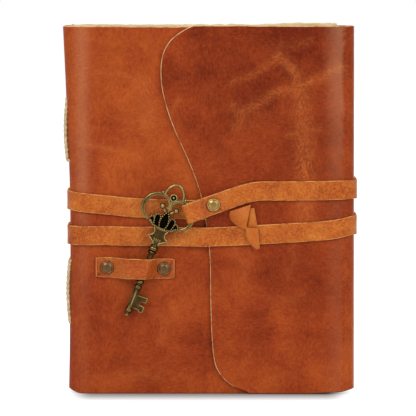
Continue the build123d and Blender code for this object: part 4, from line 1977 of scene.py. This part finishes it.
@dataclass(frozen=True)
class WaxedCord(FibrousFinish):
    """Waxed linen cord: beige plies with a dull gleam, darker where the strands meet."""

    cloud: Point = (1.6, 4.0, 0.7)
    stops: Pair = (0.35, 0.6)
    nap: Point = (0.5, 2.0, 0.55)
    bump: Pair = (0.4, 0.2)
    roughness: float = 0.6
    specular: float = 0.5


@dataclass(frozen=True)
class AgedMetal:
    """Cast or stamped metal, patinated and then rubbed: dark in its hollows, bright on its ridges, with
    painted shade on its sides.
    """

    name: str
    dark: str
    body: str
    bright: str
    roughness: float = 0.42
    patina: float = 0.5
    hollow_reach: float = 1.4
    unrubbed: float = 0.12
    rubbed: float = 0.9
    blotch: Point = (2.6, 5.0, 0.7)
    pitting: Point = (1.0, 3.0, 0.55)
    bump: Pair = (0.3, 0.2)

    def make(self) -> Material:
        """Make the metal.

        Returns:
            The metal, dark in hollows, bright on the rubbed ridges and darker on the painted shade that
            rub_and_shade marks.
        """
        material, tree, shader, place = new_material(self.name)
        reach = {"Distance": self.hollow_reach * METRES}
        open_air = add_node(tree, Kind.HOLLOWS, reach, "AO", samples=8, only_local=True)
        rub_and_shade = add_node(tree, Kind.ATTRIBUTE, output="Fac", attribute_name="rub_and_shade")
        blotches, pits = (
            add_node(tree, Kind.NOISE, {
                "Vector": place, "Scale": per_mm(size), "Detail": detail, "Roughness": rough,
            })
            for size, detail, rough in (self.blotch, self.pitting)
        )
        # rub_and_shade holds real rubbing on ridges and painted shade on sides turned from the front
        worn_and_lit = add_node(tree, Kind.MATH, (rub_and_shade, self.rubbed, self.unrubbed), operation="MULTIPLY_ADD")
        level = add_node(tree, Kind.MATH, (open_air, worn_and_lit), operation="MULTIPLY")
        away = add_node(tree, Kind.MATH, (blotches, 0.5), operation="SUBTRACT")
        level = add_node(tree, Kind.MATH, (away, self.patina, level), operation="MULTIPLY_ADD")
        colours = add_node(tree, Kind.RAMP, {"Fac": level})
        set_stops(colours, (0.2, self.dark), (0.58, self.body), (0.95, self.bright))
        strength, depth = self.bump
        bump = {"Strength": strength, "Distance": depth * METRES, "Height": pits}
        gloss = (blotches, 0.3, 0.7, self.roughness + 0.14, self.roughness - 0.08)
        wire_up(tree, shader, {
            "Base Color": colours, "Normal": add_node(tree, Kind.BUMP, bump), "Metallic": 1.0,
            "Roughness": add_node(tree, Kind.RANGE, gloss, **SMOOTH),
        })
        return material


@dataclass
class Studio:
    """White floor, soft lights and the camera at the photograph's angle."""

    aim: Point = (-0.5, -16.0, 103.6)
    distance: float = 1600.0
    elevation: float = 5.2
    field: float = 229.0
    sensor: float = 36.0
    # Places and sizes in metres from here on, and each lamp's power in watts
    clip_end: float = 20.0
    floor_size: float = 6.0
    # Round this footprint the floor is greyed by distance, out to shadow_reach: a painted contact shadow over
    # the real one
    footprint: Point = (0.064, 0.012, 0.0)
    shadow_reach: Point = (0.018, 0.04, 1.0)
    lamps: tuple = (
        ("key_softbox", (-0.85, -1.3, 1.2), 0.9, 13.5),
        ("fill_softbox", (1.0, -1.2, 0.9), 0.9, 9.0),
        ("top_softbox", (0.1, 0.15, 1.5), 1.0, 7.0),
    )
    lamp_aim: Point = (0.0, 0.0, 0.1)
    # Strengths of the floor and the surroundings, where one is white
    near_glow: float = 0.02
    bounce: float = 0.9
    # The floor's grey to the camera, which deepens the painted contact shadow near the journal
    seen_shade: float = 0.36
    surround: float = 0.36

    def build(self) -> None:
        """Set up the floor, the world, the lamps and the camera."""
        self.build_floor()
        self.build_world()
        for lamp in self.lamps:
            self.add_softbox(*lamp)
        self.build_camera()
        bpy.context.scene.view_settings.view_transform = "Standard"

    def build_floor(self) -> None:
        """Lay the white floor, which keeps the journal's shadow and glows white away from it; near the
        footprint it turns grey by distance, a painted contact shadow.
        """
        clear_selection()
        bpy.ops.mesh.primitive_plane_add(size=self.floor_size)
        floor = named("studio_floor")
        material, tree, shader, place = new_material("Matt white paper sweep")
        none = (0.0, 0.0, 0.0)
        for operation, operand in (
            ("ABSOLUTE", none), ("SUBTRACT", self.footprint), ("MAXIMUM", none),
            ("DIVIDE", self.shadow_reach),
        ):
            place = add_node(tree, Kind.VECTORS, (place, operand), operation=operation)
        reach = add_node(tree, Kind.VECTORS, (place,), "Value", operation="LENGTH")
        glow = add_node(tree, Kind.RANGE, (reach, 0.0, 1.0, self.near_glow, 1.0), **SMOOTH)
        seen = self.seen_ray(tree)
        shade = (seen, 0.0, 1.0, self.bounce, self.seen_shade)
        wire_up(tree, shader, {
            "Base Color": add_node(tree, Kind.RANGE, shade, **SMOOTH),
            "Roughness": 1.0, "Specular IOR Level": 0.0, "Emission Color": WHITE,
            "Emission Strength": add_node(tree, Kind.MATH, (seen, glow), operation="MULTIPLY"),
        })
        floor.data.materials.append(material)

    def seen_ray(self, tree: NodeTree) -> Socket:
        """Tell the rays that reach the camera straight, in a reflection or through a piece.

        Args:
            tree: Node tree to add to.

        Returns:
            One for such rays, and zero for light.
        """
        seen, glossy, through_piece = (
            add_node(tree, Kind.LIGHT_PATH, output=f"Is {ray} Ray")
            for ray in ("Camera", "Glossy", "Transmission")
        )
        seen = add_node(tree, Kind.MATH, (seen, glossy), operation="MAXIMUM")
        return add_node(tree, Kind.MATH, (seen, through_piece), operation="MAXIMUM")

    def build_world(self) -> None:
        """Make the surroundings white to the eye and a soft grey as light."""
        world = bpy.data.worlds.new("White studio")
        world.use_nodes = True
        tree = world.node_tree
        strength = (self.seen_ray(tree), 0.0, 1.0, self.surround, 1.0)
        wire_up(tree, tree.nodes["Background"], {
            "Color": WHITE, "Strength": add_node(tree, Kind.RANGE, strength, **SMOOTH),
        })
        bpy.context.scene.world = world

    def add_softbox(self, name: str, spot: Point, size: float, power: float) -> None:
        """Hang a square soft lamp, facing the journal.

        Args:
            name: Name of the lamp.
            spot: Its place in metres.
            size: Its side in metres.
            power: Its power in watts.
        """
        clear_selection()
        bpy.ops.object.light_add(type="AREA", location=spot)
        lamp = bpy.context.active_object
        lamp.name = name
        lamp.data.size = size
        lamp.data.energy = power
        lamp.rotation_euler = (Vector(self.lamp_aim) - Vector(spot)).to_track_quat("-Z", "Y").to_euler()

    def build_camera(self) -> None:
        """Place the camera so that the photograph's field is filled."""
        tilt = math.radians(self.elevation)
        aim = Vector(self.aim)
        spot = aim + Vector((0.0, -math.cos(tilt), math.sin(tilt))) * self.distance
        clear_selection()
        bpy.ops.object.camera_add(location=spot * METRES)
        camera = bpy.context.active_object
        camera.name = "photo_camera"
        camera.rotation_euler = (aim - spot).to_track_quat("-Z", "Y").to_euler()
        camera.data.sensor_width = self.sensor
        camera.data.lens = self.sensor * self.distance / self.field
        camera.data.clip_end = self.clip_end
        bpy.context.scene.camera = camera


WRAP_LEATHER = PullUpLeather("Pull-up wrap leather", "#6A2006", "#953A15", "#B65520", "#C0642E", "#CC8E68")
STRAP_LEATHER = PullUpLeather(
    "Pull-up strap leather", "#803208", "#B85A18", "#CC7A2E", "#D8904A", "#E2A468", mottle=0.14,
    grain_size=1.0, grain_swing=0.42, crease_share=0.2, roughness=0.38, specular=0.2, bump=0.5,
)
KNOT_LEATHER = PullUpLeather(
    "Smooth strap leather", "#8A3A0C", "#BC6222", "#CE7E38", "#D8904A", "#E2A468", mottle=0.2, grain_size=0.9,
    grain_swing=0.12, crease_share=0.3, roughness=0.42, specular=0.16, bump=0.3,
)
HOLDER_LEATHER = PullUpLeather(
    "Pull-up holder leather", "#742A08", "#A84A14", "#BC6428", "#C87838", "#DA9860", mottle=0.14,
    grain_size=1.1, grain_swing=0.42, crease_share=0.2, roughness=0.42, specular=0.18, bump=0.45,
)
FLESH_SIDE = CutEdge("Flesh side of the wrap", "#A86C44", "#9E623B")
WRAP_EDGE = CutEdge("Raw edge of the wrap", "#D8B080", "#A05E34")
STRAP_EDGE = CutEdge("Raw edge of the strap", "#D89C58", "#A05A26")
# The knot's edges are dark, painted shade for the gaps between its facets
KNOT_SHADED_EDGE = CutEdge("Knot edge with painted gap shade", "#B86C30", "#6E3410")
PAPER = HandmadePaper("Handmade cotton paper", "#F0DCAE", "#DCC08A")
CORD = WaxedCord("Waxed linen cord", "#D9C39A", "#A88C60")
ANTIQUE_BRONZE = AgedMetal("Antique bronze casting", "#070402", "#403018", "#90784A", roughness=0.21)
BLACK_RECESS = AgedMetal("Blackened bronze recess", "#050302", "#0C0804", "#1A130A", roughness=0.5)
DARK_RIVET = AgedMetal("Darkened bronze rivet", "#120C07", "#5C442C", "#846444", roughness=0.26, patina=0.3)
BRIGHT_RIVET = AgedMetal("Worn brass rivet", "#20150A", "#86693A", "#C0A468", roughness=0.24, patina=0.3)


def main() -> None:
    """Build the journal piece by piece, then the studio."""
    logging.basicConfig(level=logging.INFO, format="%(name)s: %(message)s")
    layout = Layout.from_frame()
    wrap = WRAP_LEATHER.make()
    wrap_edge = WRAP_EDGE.make()
    strap_edge = STRAP_EDGE.make()
    hide = Hide(layout)
    strap = Strap(layout, hide)
    pieces = hide.build(wrap, wrap_edge, FLESH_SIDE.make())
    pieces += strap.build(STRAP_LEATHER.make(), strap_edge, KNOT_LEATHER.make(), KNOT_SHADED_EDGE.make())
    pieces += KeyHolder(layout).build(HOLDER_LEATHER.make(), strap_edge, DARK_RIVET.make())
    pieces += Pages().build(PAPER.make(), CORD.make())
    pieces.append(SkeletonKey().build(ANTIQUE_BRONZE.make(), BLACK_RECESS.make()))
    pieces.append(strap.build_rivet(BRIGHT_RIVET.make()))
    for piece in pieces:
        LOG.info("%s: %d faces", piece.name, len(piece.data.polygons))
    Studio().build()


if __name__ == "__main__":
    main()
